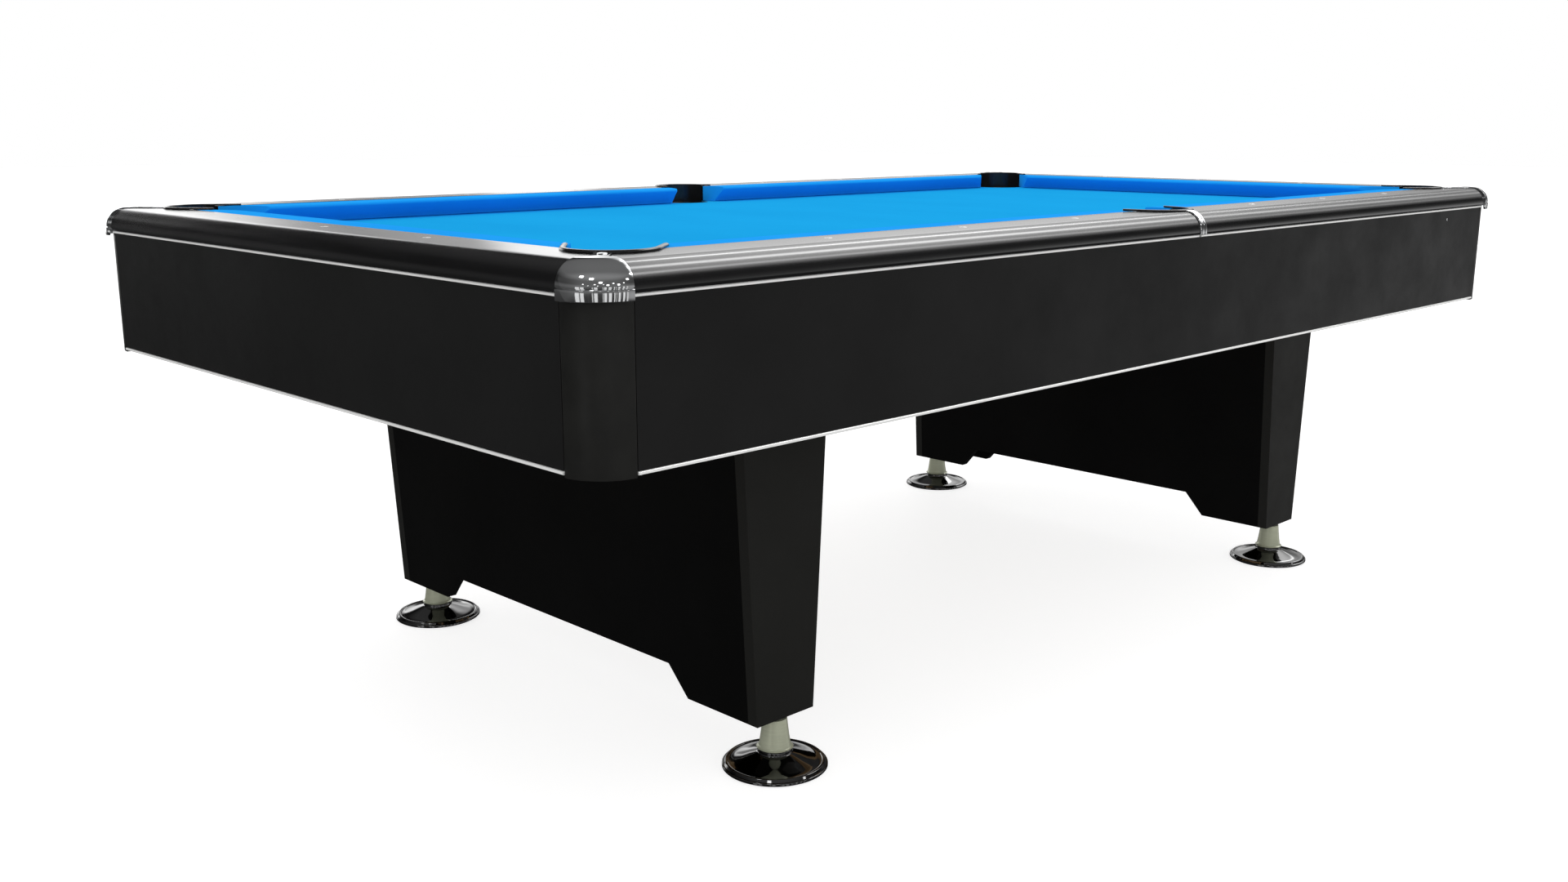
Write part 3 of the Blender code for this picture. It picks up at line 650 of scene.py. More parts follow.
def make_bed():
    """The cloth lies flat on the slate and rolls down into each pocket."""
    roll, wall, margin = 0.0045, 0.011, 0.003
    bore = POCKET_R + WALL + 0.0014
    shape = bmesh.new()
    outline = bed_outline(bore + roll + margin)
    verts = [shape.verts.new((x, y, BED_Z)) for (x, y), _ in outline]
    shape.faces.new(verts)
    profile = [(bore + roll, 0.0)]
    profile += [(bore + roll - roll * sin(a), -roll * (1 - cos(a)))
                for a in (radians(15 * k) for k in range(1, 7))]
    profile += [(bore, -roll - wall)]
    for i, (_, pocket) in enumerate(outline):
        follower = outline[(i + 1) % len(outline)][1]
        if pocket is None or follower is not pocket:
            continue
        columns = []
        for k in (i, (i + 1) % len(outline)):
            x, y = outline[k][0]
            away = Vector((x - pocket.centre[0], y - pocket.centre[1])).normalized()
            column = [verts[k]]
            for radius, z in profile:
                spot = Vector(pocket.centre) + away * radius
                column.append(shape.verts.new((spot.x, spot.y, BED_Z + z)))
            columns.append(column)
        for a, b, c, d in zip(columns[0], columns[1], columns[1][1:], columns[0][1:]):
            shape.faces.new((a, d, c, b))
    bmesh.ops.remove_doubles(shape, verts=shape.verts, dist=1e-6)
    bmesh.ops.triangulate(shape, faces=[f for f in shape.faces if len(f.verts) > 4])
    bmesh.ops.recalc_face_normals(shape, faces=shape.faces)
    area = sum(f.calc_area() for f in shape.faces)
    mesh = bpy.data.meshes.new("bed_cloth_sheet")
    shape.to_mesh(mesh)
    shape.free()
    cloth = linked("bed_cloth_sheet", mesh)
    skin = cloth.modifiers.new("thickness", "SOLIDIFY")
    skin.thickness = 0.0009
    skin.offset = -1.0 if mesh.polygons[0].normal.z > 0 else 1.0
    applied(cloth)
    piece(cloth, BED, replaces=["bed_cloth"], angle=60.0)


# ---- pocket liners ----
def ribbon(name, pocket, start, profile, tips=False):
    """A closed (offset, height) profile swept round the throat; tips rounds its ends off in plan."""
    stations = pocket.stations(start)
    mid = sum(o for o, _ in profile) / len(profile)
    rings = []

    def ring(point, normal, slide, squeeze):
        tangent = (-normal[1], normal[0])
        made = []
        for offset, z in profile:
            o = mid + (offset - mid) * squeeze
            made.append((*pocket.at(point[0] + normal[0] * o + tangent[0] * slide,
                                    point[1] + normal[1] * o + tangent[1] * slide), z))
        return made

    reach = (max(o for o, _ in profile) - min(o for o, _ in profile)) / 2
    turns = [radians(a) for a in (80, 65, 48, 30, 14)] if tips else []
    rings += [ring(*stations[0], reach * sin(a), cos(a)) for a in turns]
    rings += [ring(p, n, 0.0, 1.0) for p, n in stations]
    rings += [ring(*stations[-1], -reach * sin(a), cos(a)) for a in turns[::-1]]
    return loft(name, rings)


def liner_flange(pocket):
    """The bead on top of the rail, with rounded arm tips."""
    low, high = RAIL_TOP + HAIR, FLANGE_TOP
    bead = arc(0.0022, high - 0.0018, 0.0022, 180, 90, 5, 0.0018)
    bead += arc(FLANGE_W - 0.0030, high - 0.0022, 0.0030, 90, 0, 5, 0.0022)
    bead += [(FLANGE_W, low), (0.0028, low)]
    return ribbon("flange", pocket, pocket.horn, bead, tips=True)


def liner_wall(pocket):
    """The thin wall that lines the rail round the throat."""
    low, high = BED_Z - 0.004, RAIL_TOP + HAIR + 0.001
    inside, outside = 0.0002, WALL - 0.0002
    section = [(inside, low), (inside + 0.0004, high), (outside, high), (outside, low)]
    return ribbon("wall", pocket, pocket.feather + 0.006, section)


def liner_cup(pocket):
    """The cup under the bed, with upright ribs around its outside."""
    rim = BED_Z - 0.0022
    outer = POCKET_R + WALL
    bend, inset = 0.024, 0.026
    body = arc(outer - 0.0012, rim - 0.0012, 0.0012, 90, 0, 3)
    body += [(outer - 0.0005, rim - 0.030), (outer - 0.0020, CUP_LOW + 0.030)]
    body += arc(outer - inset, CUP_LOW + bend, bend, 0, -90, 10)
    body += [(0.001, CUP_LOW), (0.001, CUP_LOW + WALL)]
    body += arc(POCKET_R - inset, CUP_LOW + bend + WALL, bend, -90, 0, 10)
    body += [(POCKET_R - 0.0005, rim - 0.030)]
    body += arc(POCKET_R + 0.0012, rim - 0.0012, 0.0012, 180, 90, 3)
    parts = [turned("cup", body, pocket.centre, 72)]
    centre = Vector(pocket.centre)
    count = 8
    for k in range(count):
        a = 2 * pi * (k + 0.5) / count
        way = Vector((cos(a), sin(a)))
        across = Vector((-way.y, way.x)) * 0.0016
        near, far = centre + way * (outer - 0.003), centre + way * (outer + 0.0002)
        outline = [near - across, far - across, far + across, near + across]
        parts.append(prism("rib", outline, CUP_LOW + bend, rim - 0.012))
    return parts


def make_liner(pocket):
    liner = joined(f"liner_{pocket.name}", liner_flange(pocket), liner_wall(pocket), *liner_cup(pocket))
    piece(liner, LINER, replaces=[f"pocket_liner_{pocket.name}"], angle=40.0)


# ---- chrome castings ----
def cap_section():
    """Closed section of the corner cap: crowned dome, stepped skirt, and the inside face."""
    top = CAP_HIGH[2]
    skirt = CAP_HIGH[0] - (HALF_L - CAP_IN)
    low = CAP_LOW[2]
    step = SKIRT_TOP
    edge = skirt - 0.0007
    flat = CAP_IN + ROUND_START - RAIL_W
    waist = step + 0.0014
    dome = arc(flat, waist, edge - flat, 90, 0, 34, top - waist)
    foot = [(edge - 0.0016, step + 0.0009), (edge - 0.0016, step)]
    foot += arc(skirt - 0.0008, step - 0.0012, 0.0008, 90, 0, 4)
    hem = arc(skirt - 0.0012, low + 0.0012, 0.0012, 0, -90, 3)
    inner_edge = edge - 0.0036
    inner = arc(flat, step, inner_edge - flat, 0, 90, 12, top - step - 0.003)
    return [(0.0, top)] + dome + foot + hem + [(inner_edge, low)] + inner + [(0.0, top - 0.003)]


def tongue_outline(reach):
    """A strip from the liner's flange that widens with a fillet into the cap's 45-degree seams."""
    half, fillet = 0.0112, 0.027
    flange = POCKET_R + FLANGE_W + HAIR
    half_angle = degrees(asin(half / flange))
    end = arc(-reach, 0.0, flange, -half_angle, half_angle, 8)
    flank = arc(half + fillet - fillet * ROOT2, half + fillet, fillet, 270, 315, 8)
    flank.append((flank[-1][0] + 0.006, flank[-1][1]))
    return end + flank + [(x, -y) for x, y in flank[::-1]]


def make_cap(corner):
    sx, sy = CORNERS[corner]
    cx, cy = sx * (HALF_L - CAP_IN), sy * (HALF_W - CAP_IN)
    pocket = POCKETS[corner]
    start, steps = pocket.angle - pi / 4, 40
    quarter = [start + pi / 2 * i / steps for i in range(steps + 1)]
    dome = swung("dome", cap_section(), (cx, cy), quarter)
    c, s = cos(pocket.angle), sin(pocket.angle)
    reach = dist((cx, cy), pocket.centre)
    outline = [(cx + x * c - y * s, cy + x * s + y * c) for x, y in tongue_outline(reach)]
    tongue = prism("tongue", outline, RAIL_TOP + HAIR, CAP_HIGH[2] - 0.0001)
    eased(tongue, 0.0006, 2, 60.0)
    button = [(AXIS_R, 0.0)] + arc(0.0, 0.0, 0.0085, 0, 80, 8, 0.0011) + [(AXIS_R, 0.0011)]
    boss = turned("boss", button, steps=48)
    boss.matrix_world = (Matrix.Translation((cx - 0.024 * c, cy - 0.024 * s, CAP_HIGH[2] - 0.0004))
                         @ Matrix.Rotation(pocket.angle, 4, "Z") @ Matrix.Diagonal((1.35, 0.75, 1, 1)))
    bpy.context.view_layer.update()
    cap = joined(f"corner_cap_cast_{corner}", dome, tongue, boss)
    piece(cap, CHROME, replaces=[f"corner_cap_{corner}"], angle=32.0)


def make_side_casting(side):
    """A fluted band over the rail's rounded edge: two beads with a shallow valley between them."""
    low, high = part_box(f"side_casting_{side}")
    edge = RAIL_W + LIP
    drop_in = edge - ROUND_START
    rise = RAIL_TOP - ROUND_END_Z
    start_depth = SIDE_SHELF + 2 * POCKET_R + FLANGE_W + HAIR
    first = degrees(acos((start_depth - ROUND_START) / drop_in))
    path = arc(ROUND_START, ROUND_END_Z, drop_in + HAIR, first, 0, 28, rise + HAIR)
    path.append((path[-1][0], RAIL_LOW + 0.0002))
    half = (high[0] - low[0]) / 2
    rim, valley, bead, count = 0.0010, 0.0012, 0.0011, 20
    across = [(-half, 0.0), (-half, rim)]
    for k in range(1, count):
        t = 2 * k / count - 1
        across.append((half * t, valley + bead * sin(pi * abs(t))))
    across += [(half, rim), (half, 0.0)]
    slopes = [(b[0] - a[0], b[1] - a[1]) for a, b in zip(path, path[1:])]
    rings = []
    for (d, z), (td, tz) in zip(path, slopes + slopes[-1:]):
        length = hypot(td, tz)
        nd, nz = -tz / length, td / length
        rings.append([along_side(side, x, d + nd * h, z + nz * h) for x, h in across])
    band = loft(f"side_band_{side}", rings)
    eased(band, 0.0003, 2, 50.0)
    piece(band, CHROME, replaces=[f"side_casting_{side}"], angle=40.0)


# ---- cabinet ----
def make_post(corner):
    sx, sy = CORNERS[corner]
    node = f"corner_post_{corner}"
    low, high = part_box(node)
    radius = high[0] - low[0]
    inner = POST_IN - (HALF_L - APRON_IN_L)
    cx, cy = sx * (HALF_L - POST_IN), sy * (HALF_W - POST_IN)
    start = degrees(atan2(sy, sx)) - 45
    outline = arc(cx, cy, radius, start, start + 90, 40) + arc(cx, cy, inner, start + 90, start, 20)
    post = prism(f"post_{corner}", outline, low[2], high[2])
    eased(post, 0.0014, 3, 50.0)
    piece(post, POST, replaces=[node], angle=40.0)


def make_trim(side, level):
    """Drawn trim: a rounded face and a thin tongue let into the board's edge.

    The upper trims of the long sides stop either side of the chrome band.
    """
    node = f"{level}_trim_{side}"
    low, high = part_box(node)
    z0, z1 = low[2], high[2]
    nx, ny = SIDES[side]
    outward, run = (0, 1) if nx else (1, 0)
    d = max(-low[outward], high[outward]) - (NOSE_L if nx else NOSE_W)
    radius, tongue = 0.0017, 0.0215
    section = [(d - tongue, z0)] + arc(d - radius, z0 + radius, radius, -90, 0, 5)
    section += arc(d - radius, z1 - radius, radius, 0, 90, 5) + [(d - tongue, z1)]
    half = (high[run] - low[run]) / 2
    gap = 0.0035
    bars = {"_a": (-half, -gap), "_b": (gap, half)} if level == "upper" and ny else {"": (-half, half)}
    for label, ends in bars.items():
        trim = bar(f"{level}_trim_bar_{side}{label}", side, section, ends)
        piece(trim, TRIM, replaces=[node], angle=40.0)


def dress(node, material, width=0.0008):
    """Gives a CAD node that stays its material and slightly eased edges."""
    paint(nodes[node], material)
    bevel(nodes[node], width, angle=40.0)


def make_cabinet():
    for corner in CORNERS:
        make_post(corner)
    for side in SIDES:
        make_trim(side, "upper")
        make_trim(side, "lower")
        dress(f"apron_{side}", LAMINATE)
    dress("cabinet_frame", FRAME_PINE, 0.0015)
    dress("slate", SLATE, 0.0015)
    for label in ("left", "right"):
        # Broad panels take the darker copy as painted shade; end panels take the lighter copy as painted
        # light.
        for part, material in (("outer_panel", PEDESTAL), ("inner_panel", PEDESTAL),
                               ("front_end", PEDESTAL_END_PAINTED_LIGHT), ("back_end", PEDESTAL_END_PAINTED_LIGHT)):
            dress(f"pedestal_{label}_{part}", material, 0.0010)


# ---- feet ----
def foot_section():
    """Dished base: hub, shallow hollow cone, raised bead, stepped rim and the flat underneath."""
    r = (FOOT_HIGH[0] - FOOT_LOW[0]) / 2
    hub = FOOT_HIGH[2]
    bore, under = 0.0066, 0.0016
    points = [(bore, hub - 0.0012), (bore + 0.0012, hub)]
    points += arc(0.0245, hub - 0.0020, 0.0020, 90, 0, 5)
    points += arc(0.0300, hub - 0.0040, 0.0035, 180, 245, 6)
    points += [(0.038, 0.0196), (0.050, 0.0148), (0.062, 0.0112), (0.0715, 0.0092)]
    points += arc(0.0740, 0.0093, 0.0017, 200, 90, 5)[1:]
    points += arc(0.0752, 0.0088, 0.0022, 90, 20, 4)
    points += [(0.0790, 0.0066)] + arc(r - 0.0020, 0.0046, 0.0020, 80, 0, 5) + [(r, 0.0022)]
    points += [(r - 0.0006, under), (bore, under)]
    return points


def pad_section(r):
    """Thin rubber disc that shows as a dark line under the dish."""
    return [(0.002, 0.0014), (r - 0.0035, 0.0014), (r - 0.0030, 0.0008), (r - 0.0036, 0.0), (0.002, 0.0)]


def collar_section():
    """Tapered sleeve: a flared foot, a straight cone and a rounded top edge."""
    low = FOOT_HIGH[2] + HAIR
    bore = 0.0060
    foot = [(bore, low), (0.0262, low), (0.0266, low + 0.0008)]
    foot += arc(0.0300, low + 0.0068, 0.0056, 255, 190, 6)
    cone = [(0.0222, 0.0500), (0.0200, 0.0680)]
    return foot + cone + arc(0.0178, COLLAR_TOP - 0.0012, 0.0012, 10, 90, 4) + [(bore, COLLAR_TOP)]


def hex_nut(name, centre, low, high, across):
    """A hexagon nut whose corners are chamfered at both ends."""
    rings = []
    corner = across / 2 / cos(pi / 6)
    chamfer, end_share, steps = 0.0009, 0.93, 48
    for z, share in ((low, end_share), (low + chamfer, 1.0), (high - chamfer, 1.0), (high, end_share)):
        ring = []
        for i in range(steps):
            a = 2 * pi * i / steps
            flat = across / 2 / cos((a + pi / 6) % (pi / 3) - pi / 6)
            ring.append((centre[0] + min(flat, corner * share) * cos(a),
                         centre[1] + min(flat, corner * share) * sin(a), z))
        rings.append(ring)
    return loft(name, rings)


def threaded_rod(name, centre, low, high, radius, pitch):
    """A rod whose surface follows a true helix."""
    steps, per_turn, depth = 28, 7, 0.0009
    count = int((high - low) / pitch * per_turn)
    rings = []
    for k in range(count + 1):
        z = low + (high - low) * k / count
        ring = []
        for i in range(steps):
            phase = (z / pitch - i / steps) % 1.0
            ridge = 1 - abs(2 * phase - 1)
            fade = min(1.0, (high - z) / (2 * pitch), (z - low) / pitch)
            r = radius - depth * (1 - ridge) * fade
            a = 2 * pi * i / steps
            ring.append((centre[0] + r * cos(a), centre[1] + r * sin(a), z))
        rings.append(ring)
    return loft(name, rings)


def make_foot(corner):
    low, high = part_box(f"foot_base_{corner}")
    centre = ((low[0] + high[0]) / 2, (low[1] + high[1]) / 2)
    body, stem_body = f"foot_{corner}", f"stem_{corner}"
    base = turned(f"foot_dish_{corner}", foot_section(), centre, 128)
    piece(base, FOOT_CHROME, body, [f"foot_base_{corner}"], 30.0)
    pad = turned(f"foot_pad_{corner}", pad_section((high[0] - low[0]) / 2), centre, 96)
    piece(pad, RUBBER, body, angle=30.0)
    collar = turned(f"stem_collar_{corner}", collar_section(), centre, 96)
    piece(collar, COLLAR, stem_body, [f"foot_stem_{corner}"], 35.0)
    nut = hex_nut(f"stem_nut_{corner}", centre, COLLAR_TOP + 0.0001, PEDESTAL_LOW_Z - HAIR, 0.026)
    piece(nut, CHROME, stem_body, angle=25.0)
    rod = threaded_rod(f"stem_rod_{corner}", centre, FOOT_HIGH[2] - 0.016, STEM_TOP - 0.0002, 0.0079, 0.002)
    piece(rod, ZINC, stem_body, angle=50.0)


# ---- sights and hardware ----
def make_sights():
    """Three sights between pockets on each rail, an eighth of the bed apart."""
    peg = [(AXIS_R, -0.002), (0.0056, -0.002), (0.0058, 0.0)]
    dome = arc(0.0, 0.0001, 0.0055, 10, 74, 4, 0.0005) + [(AXIS_R, 0.0006)]
    mesh = mesh_of(turned("sight_template", peg + dome, steps=40))
    step = NOSE_L / 4
    depth = (FEATHER + ROUND_START) / 2
    spots = [(side, k * step) for side in ("front", "back") for k in (-3, -2, -1, 1, 2, 3)]
    spots += [(side, k * step) for side in ("left", "right") for k in (-1, 0, 1)]
    for i, (side, run) in enumerate(spots):
        obj = linked(f"sight_{i:02d}", mesh)
        obj.location = along_side(side, run, depth, RAIL_TOP)
        piece(obj, PEARL, angle=30.0)


def screw_mesh(radius, height):
    """A pan head with a cross recess."""
    profile = [(AXIS_R, 0.0), (radius, 0.0)] + arc(0.0, 0.0, radius, 15, 75, 4, height) + [(AXIS_R, height)]
    head = turned("screw_template", profile, steps=28)
    blade, arm = radius * 0.16, radius * 0.62
    tools = []
    for w, h in ((arm, blade), (blade, arm)):
        tools.append(prism("slot_tool", [(-w, -h), (w, -h), (w, h), (-w, h)], height * 0.35, height * 2))
    carve(head, *tools)
    drop(*tools)
    return mesh_of(head)


SMALL_SCREW = screw_mesh(0.0042, 0.0022)
LARGE_SCREW = screw_mesh(0.0080, 0.0045)
CAP_SCREW = screw_mesh(0.0034, 0.0014)
screw_count = {}


def screw(label, mesh, at, way, material=ZINC):
    """Another screw head of one kind, facing along way."""
    screw_count[label] = screw_count.get(label, 0) + 1
    obj = linked(f"{label}_{screw_count[label]:02d}", mesh)
    obj.matrix_world = Matrix.Translation(at) @ Vector(way).to_track_quat("Z", "Y").to_matrix().to_4x4()
    piece(obj, material, angle=30.0)


def make_rail_bolts():
    """Bolts with washers, which come up through the slate into the rails."""
    ring = [(0.005, -0.002), (0.014, -0.002), (0.0144, -0.0012), (0.0144, 0.0), (0.005, 0.0)]
    washer = mesh_of(turned("washer_template", ring, steps=36))
    depth = 0.080
    runs = [("front", x) for x in (-0.95, -0.60, -0.24, 0.24, 0.60, 0.95)]
    runs += [("back", x) for _, x in runs]
    runs += [(side, y) for side in ("left", "right") for y in (-0.36, 0.0, 0.36)]
    for i, (side, run) in enumerate(runs):
        at = Vector(along_side(side, run, depth, SLATE_LOW - HAIR))
        disc = linked(f"rail_washer_{i:02d}", washer)
        disc.location = at
        piece(disc, ZINC, angle=30.0)
        nut = hex_nut(f"rail_bolt_{i:02d}", (at.x, at.y), at.z - 0.0085, at.z - 0.002, 0.015)
        piece(nut, ZINC, angle=25.0)


def make_cleat(name, low, high, axis, label, head, runs):
    """A batten along x (0) or y (1), with a row of screws underneath at the given runs."""
    piece(rounded_box(name, low, high, 0.0012), (PINE_X, PINE_Y)[axis], angle=40.0)
    at = [(low[0] + high[0]) / 2, (low[1] + high[1]) / 2, low[2]]
    for run in runs:
        at[axis] = run
        screw(label, head, at, (0, 0, -1))


def make_apron_cleats():
    """Battens that hang the aprons from the rails."""
    z1 = RAIL_LOW - 0.0060
    z0 = z1 - 0.030
    off_slate = 0.0012
    long_end, middle, short_end = HALF_L - 0.22, 0.090, HALF_W - 0.20
    for side in ("front", "back"):
        sy = SIDES[side][1]
        y0, y1 = sorted((sy * (SLATE_W + off_slate), sy * (APRON_IN_W - HAIR)))
        for label, x0, x1 in (("left", -long_end, -middle), ("right", middle, long_end)):
            make_cleat(f"apron_cleat_{side}_{label}", (x0, y0, z0), (x1, y1, z1), 0, "cleat_screw",
                       SMALL_SCREW, [x0 + (x1 - x0) * (k + 0.5) / 4 for k in range(4)])
    for side in ("left", "right"):
        sx = SIDES[side][0]
        x0, x1 = sorted((sx * (SLATE_L + off_slate), sx * (APRON_IN_L - HAIR)))
        make_cleat(f"apron_cleat_{side}", (x0, -short_end, z0), (x1, short_end, z1), 1, "cleat_screw",
                   SMALL_SCREW, [short_end * (k - 1.5) / 2 for k in range(4)])


def make_corner_angle(corner, level, z):
    """A bent plate that holds a corner post to its two aprons."""
    sx, sy = CORNERS[corner]
    x_in, y_in = sx * (APRON_IN_L - HAIR), sy * (APRON_IN_W - HAIR)
    plate, near, far, height = SHEET_STEEL, 0.020, 0.065, 0.030
    legs = []
    for lx, ly in (((x_in - sx * far, x_in - sx * near), (y_in - sy * plate, y_in)),
                   ((x_in - sx * plate, x_in), (y_in - sy * far, y_in - sy * near))):
        (a0, a1), (b0, b1) = sorted(lx), sorted(ly)
        legs.append(rounded_box("leg", (a0, b0, z), (a1, b1, z + height), 0.0006))
    bend = near + plate - 0.0002
    outline = [(x_in - sx * bend, y_in), (x_in - sx * near, y_in - sy * plate),
               (x_in - sx * plate, y_in - sy * near), (x_in, y_in - sy * bend)]
    web = prism("web", outline[::sx * sy], z, z + height)
    piece(joined(f"corner_angle_{corner}_{level}", *legs, web), ZINC, angle=30.0)
    middle = z + height / 2
    for back in (0.034, 0.054):
        screw("angle_screw", SMALL_SCREW, (x_in - sx * back, y_in - sy * plate, middle), (0, -sy, 0))
        screw("angle_screw", SMALL_SCREW, (x_in - sx * plate, y_in - sy * back, middle), (-sx, 0, 0))


def make_pedestal_cleats():
    """Cleats and bolts that join each pedestal to its pair of joists."""
    depth, width, end_gap = 0.032, 0.028, 0.03
    panel = 0.0210
    for label in ("left", "right"):
        low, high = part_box(f"pedestal_{label}_outer_panel")
        inner_low, inner_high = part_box(f"pedestal_{label}_inner_panel")
        first, last = min(low[0], inner_low[0]), max(high[0], inner_high[0])
        top = high[2]
        for face in (-1, 1):
            outer = (first + last) / 2 + face * ((last - first) / 2 - panel)
            x0, x1 = sorted((outer - face * width, outer))
            make_cleat(f"pedestal_cleat_{label}_{'a' if face < 0 else 'b'}",
                       (x0, low[1] + end_gap, top - depth), (x1, high[1] - end_gap, top), 1,
                       "pedestal_screw", LARGE_SCREW, [(high[1] - 0.07) * (k - 2) / 2 for k in range(5)])


def make_hardware():
    make_rail_bolts()
    make_apron_cleats()
    for corner in CORNERS:
        make_corner_angle(corner, "low", 0.610)
        make_corner_angle(corner, "high", 0.700)
    make_pedestal_cleats()

    # screws where the frame's beams and joists meet
    beam_y = FRAME_HIGH[1] - 0.019
    joists = (0.6990, 0.8480, FRAME_HIGH[0] - 0.020)
    for x in (0.0, *joists, *(-x for x in joists)):
        for sy in (-1, 1):
            screw("frame_screw", LARGE_SCREW, (x, sy * beam_y, FRAME_LOW_Z), (0, 0, -1))

    # the one bright cap on the front apron, and its twin at the back
    for sx, sy in ((1, -1), (-1, 1)):
        screw("apron_cap", CAP_SCREW, (sx * 1.032, sy * HALF_W, 0.756), (0, sy, 0), CHROME)


make_rails()
make_cushions()
make_bed()
for pocket in POCKETS.values():
    make_liner(pocket)
for corner in CORNERS:
    make_cap(corner)
    make_foot(corner)
for side in ("front", "back"):
    make_side_casting(side)
make_cabinet()
make_sights()
make_hardware()


# ---- stage, light and camera ----
def make_stage():
    floor = Finish("pale_floor", (0.45, 0.45, 0.452), 0.6, Specular_IOR_Level=0.1)
    floor.colour(floor.blend(floor.noise(0.6, 3.0), (0.44, 0.44, 0.442), (0.46, 0.46, 0.462)))
    floor.set("Emission Color", (*grey(1.0), 1.0))
    floor.set("Emission Strength", 0.78)
    bpy.ops.mesh.primitive_plane_add(size=60.0, location=(0, 0, 0))
    obj = bpy.context.object
    obj.name = "floor"
    obj.data.materials.append(floor.mat)
    obj.visible_glossy = False


def make_overhead():
    """A large soft light straight over the bed."""
    light = bpy.data.lights.new("overhead", "AREA")
    light.shape = "RECTANGLE"
    light.size, light.size_y = 3.0, 2.0
    light.energy = 16.0
    obj = linked("overhead", light)
    obj.location = (0.3, 0.0, 3.4)
    obj.visible_glossy = False


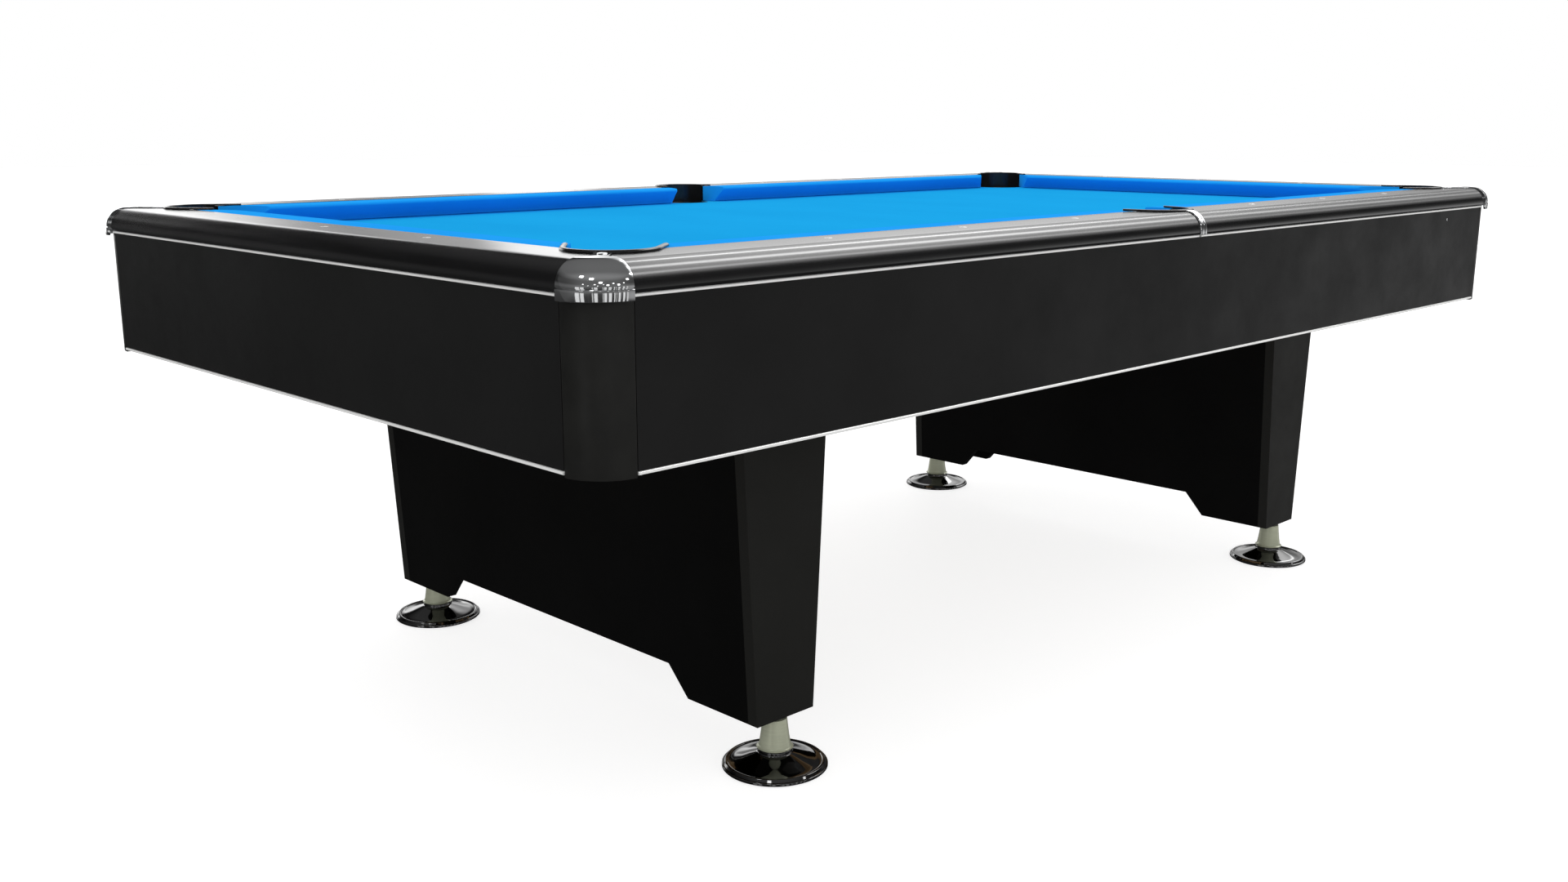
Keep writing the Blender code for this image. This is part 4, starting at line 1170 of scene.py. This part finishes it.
class Studio(Nodes):
    """The surroundings: white as a backdrop and as soft light, with lamps in a dark room as reflections."""

    def __init__(self):
        world = bpy.data.worlds.new("studio")
        bpy.context.scene.world = world
        world.use_nodes = True
        super().__init__(world.node_tree)
        self.tree.nodes.clear()
        self.way = self.node("ShaderNodeTexCoord").outputs["Generated"]
        self.x, self.y, self.z = (self.along(axis) for axis in ((1, 0, 0), (0, 1, 0), (0, 0, 1)))
        self.light = self.ceiling()

    def along(self, vector):
        made = self.node("ShaderNodeVectorMath", (self.way, vector), operation="DOT_PRODUCT")
        return made.outputs["Value"]

    def fade(self, source, start, full):
        """Rises softly from 0 at start to 1 at full."""
        made = self.node("ShaderNodeMapRange", (source, start, full), interpolation_type="SMOOTHSTEP")
        return made.outputs[0]

    def ceiling(self):
        """Brightness by height: dark below, a pale horizon and a dim ceiling."""
        stops = ((-1.0, 0.03), (-0.25, 0.04), (-0.02, 0.06), (0.01, 0.09), (0.10, 0.08), (0.19, 0.02),
                 (0.42, 0.02), (0.62, 0.13), (1.0, 0.15))
        made = self.node("ShaderNodeValToRGB", (self.maths("MULTIPLY_ADD", self.z, 0.5, 0.5),))
        ramp = made.color_ramp
        ramp.elements[0].position, ramp.elements[1].position = 0.0, 1.0
        for height, _ in stops[1:-1]:
            ramp.elements.new((height + 1) / 2)
        for element, (height, value) in zip(ramp.elements, stops):
            element.position = (height + 1) / 2
            element.color = (*grey(value), 1.0)
        return made.outputs["Color"]

    def shine(self, power, *shapes):
        for shape in shapes:
            power = self.maths("MULTIPLY", shape, power)
        self.light = self.maths("ADD", self.light, power)

    def strip(self, angle, half, power, soft=0.5):
        """A long panel parallel to the table, beyond its far end; the angles are taken about its length."""
        around = self.maths("ARCTAN2", self.z, self.y)
        away = self.maths("ABSOLUTE", self.maths("SUBTRACT", around, radians(angle)))
        limit = radians(half)
        self.shine(power, self.fade(away, limit * (1 + soft), limit * (1 - soft)),
                   self.fade(self.x, 0.54, 0.64), self.fade(self.x, 1.02, 0.72))

    def streaks(self, scale, low, high, power):
        """Uneven upright streaks just under the horizon, on the near side."""
        behind = [self.maths("MULTIPLY", axis, -1.0) for axis in (self.y, self.x)]
        angle = self.maths("ARCTAN2", *behind)
        noise = self.node("ShaderNodeTexNoise", (None, angle, scale, 5.0), noise_dimensions="1D")
        self.shine(power, self.fade(noise.outputs["Fac"], low, high),
                   self.fade(self.z, -0.50, -0.32), self.fade(self.z, 0.03, -0.02),
                   self.fade(self.x, 0.42, 0.30), self.fade(self.y, 0.15, 0.02))

    def lamp(self, azimuth, elevation, half_wide, half_tall, power, soft=0.3):
        """Adds a soft-edged panel; its half sizes are in degrees."""
        a, e = radians(azimuth), radians(elevation)
        ahead = (cos(e) * cos(a), cos(e) * sin(a), sin(e))
        aside = (-sin(a), cos(a), 0.0)
        over = (-sin(e) * cos(a), -sin(e) * sin(a), cos(e))
        shapes = [self.maths("GREATER_THAN", self.along(ahead), 0.0)]
        for axis, half in ((aside, half_wide), (over, half_tall)):
            limit = sin(radians(half))
            away = self.maths("ABSOLUTE", self.along(axis))
            shapes.append(self.fade(away, limit * (1 + soft), limit * (1 - soft)))
        self.shine(power, *shapes)

    def finish(self, diffuse):
        path = self.node("ShaderNodeLightPath")
        mirrored = self.node("ShaderNodeBackground", (None, self.light))
        plain = self.node("ShaderNodeBackground", (None, 1.0))
        soft = self.node("ShaderNodeBackground", (None, diffuse))
        for background in (mirrored, plain, soft):
            background.inputs["Color"].default_value = (1, 1, 1, 1)
        light = soft.outputs[0]
        for ray, background in (("Is Glossy Ray", mirrored), ("Is Camera Ray", plain)):
            choice = (path.outputs[ray], light, background.outputs[0])
            light = self.node("ShaderNodeMixShader", choice).outputs[0]
        self.node("ShaderNodeOutputWorld", (light,))


def make_world():
    studio = Studio()
    for azimuth, elevation, half_wide, half_tall, power, soft in (
            (43, 7, 21, 9, 0.56, 0.4), (55, 7, 1.8, 8, 1.0, 0.5), (64, 16, 8, 2, 1.6, 0.5),
            (82, 6, 15, 10, 2.4, 0.35), (-22, -7, 13, 8, 0.7, 0.6), (-50, -8, 22, 8, 0.25, 0.6),
            (232, 32, 62, 26, 0.10, 0.4)):
        studio.lamp(azimuth, elevation, half_wide, half_tall, power, soft)
    studio.strip(76, 66, 0.9, 0.1)
    for angle, half, power in ((88, 42, 1.6), (63, 3.5, 5.5), (101, 5.5, 5.5), (128, 3.5, 2.6)):
        studio.strip(angle, half, power)
    for azimuth, elevation, half, power in (
            (186, 41, 3.6, 6), (213, 35, 3.6, 6), (234, 20, 3.0, 5), (249, 9, 2.4, 4), (272, 9, 2.4, 4),
            (296, 25, 2.6, 5), (317, 38, 2.8, 5), (197, 12, 1.3, 3), (208, 7, 1.0, 2), (222, 12, 1.6, 3),
            (228, 6, 1.0, 2), (240, 12, 1.0, 3), (261, 15, 1.6, 3), (284, 14, 1.4, 3)):
        studio.lamp(azimuth, elevation, half, half, power)
    studio.streaks(6.0, 0.50, 0.53, 0.75)
    studio.finish(0.95)


def make_camera():
    """Eye level above the bed, off the table's front left corner."""
    data = bpy.data.cameras.new("camera")
    data.sensor_width = 36.0
    data.lens = 33.49
    data.clip_end = 200.0
    obj = linked("camera", data)
    obj.location = (-2.2224, -1.9840, 0.9689)
    obj.rotation_euler = (radians(90 - 12.434), 0.0, radians(45.625 - 90))
    bpy.context.scene.camera = obj


make_stage()
make_world()
make_overhead()
make_camera()
bpy.context.scene.view_settings.view_transform = "Standard"
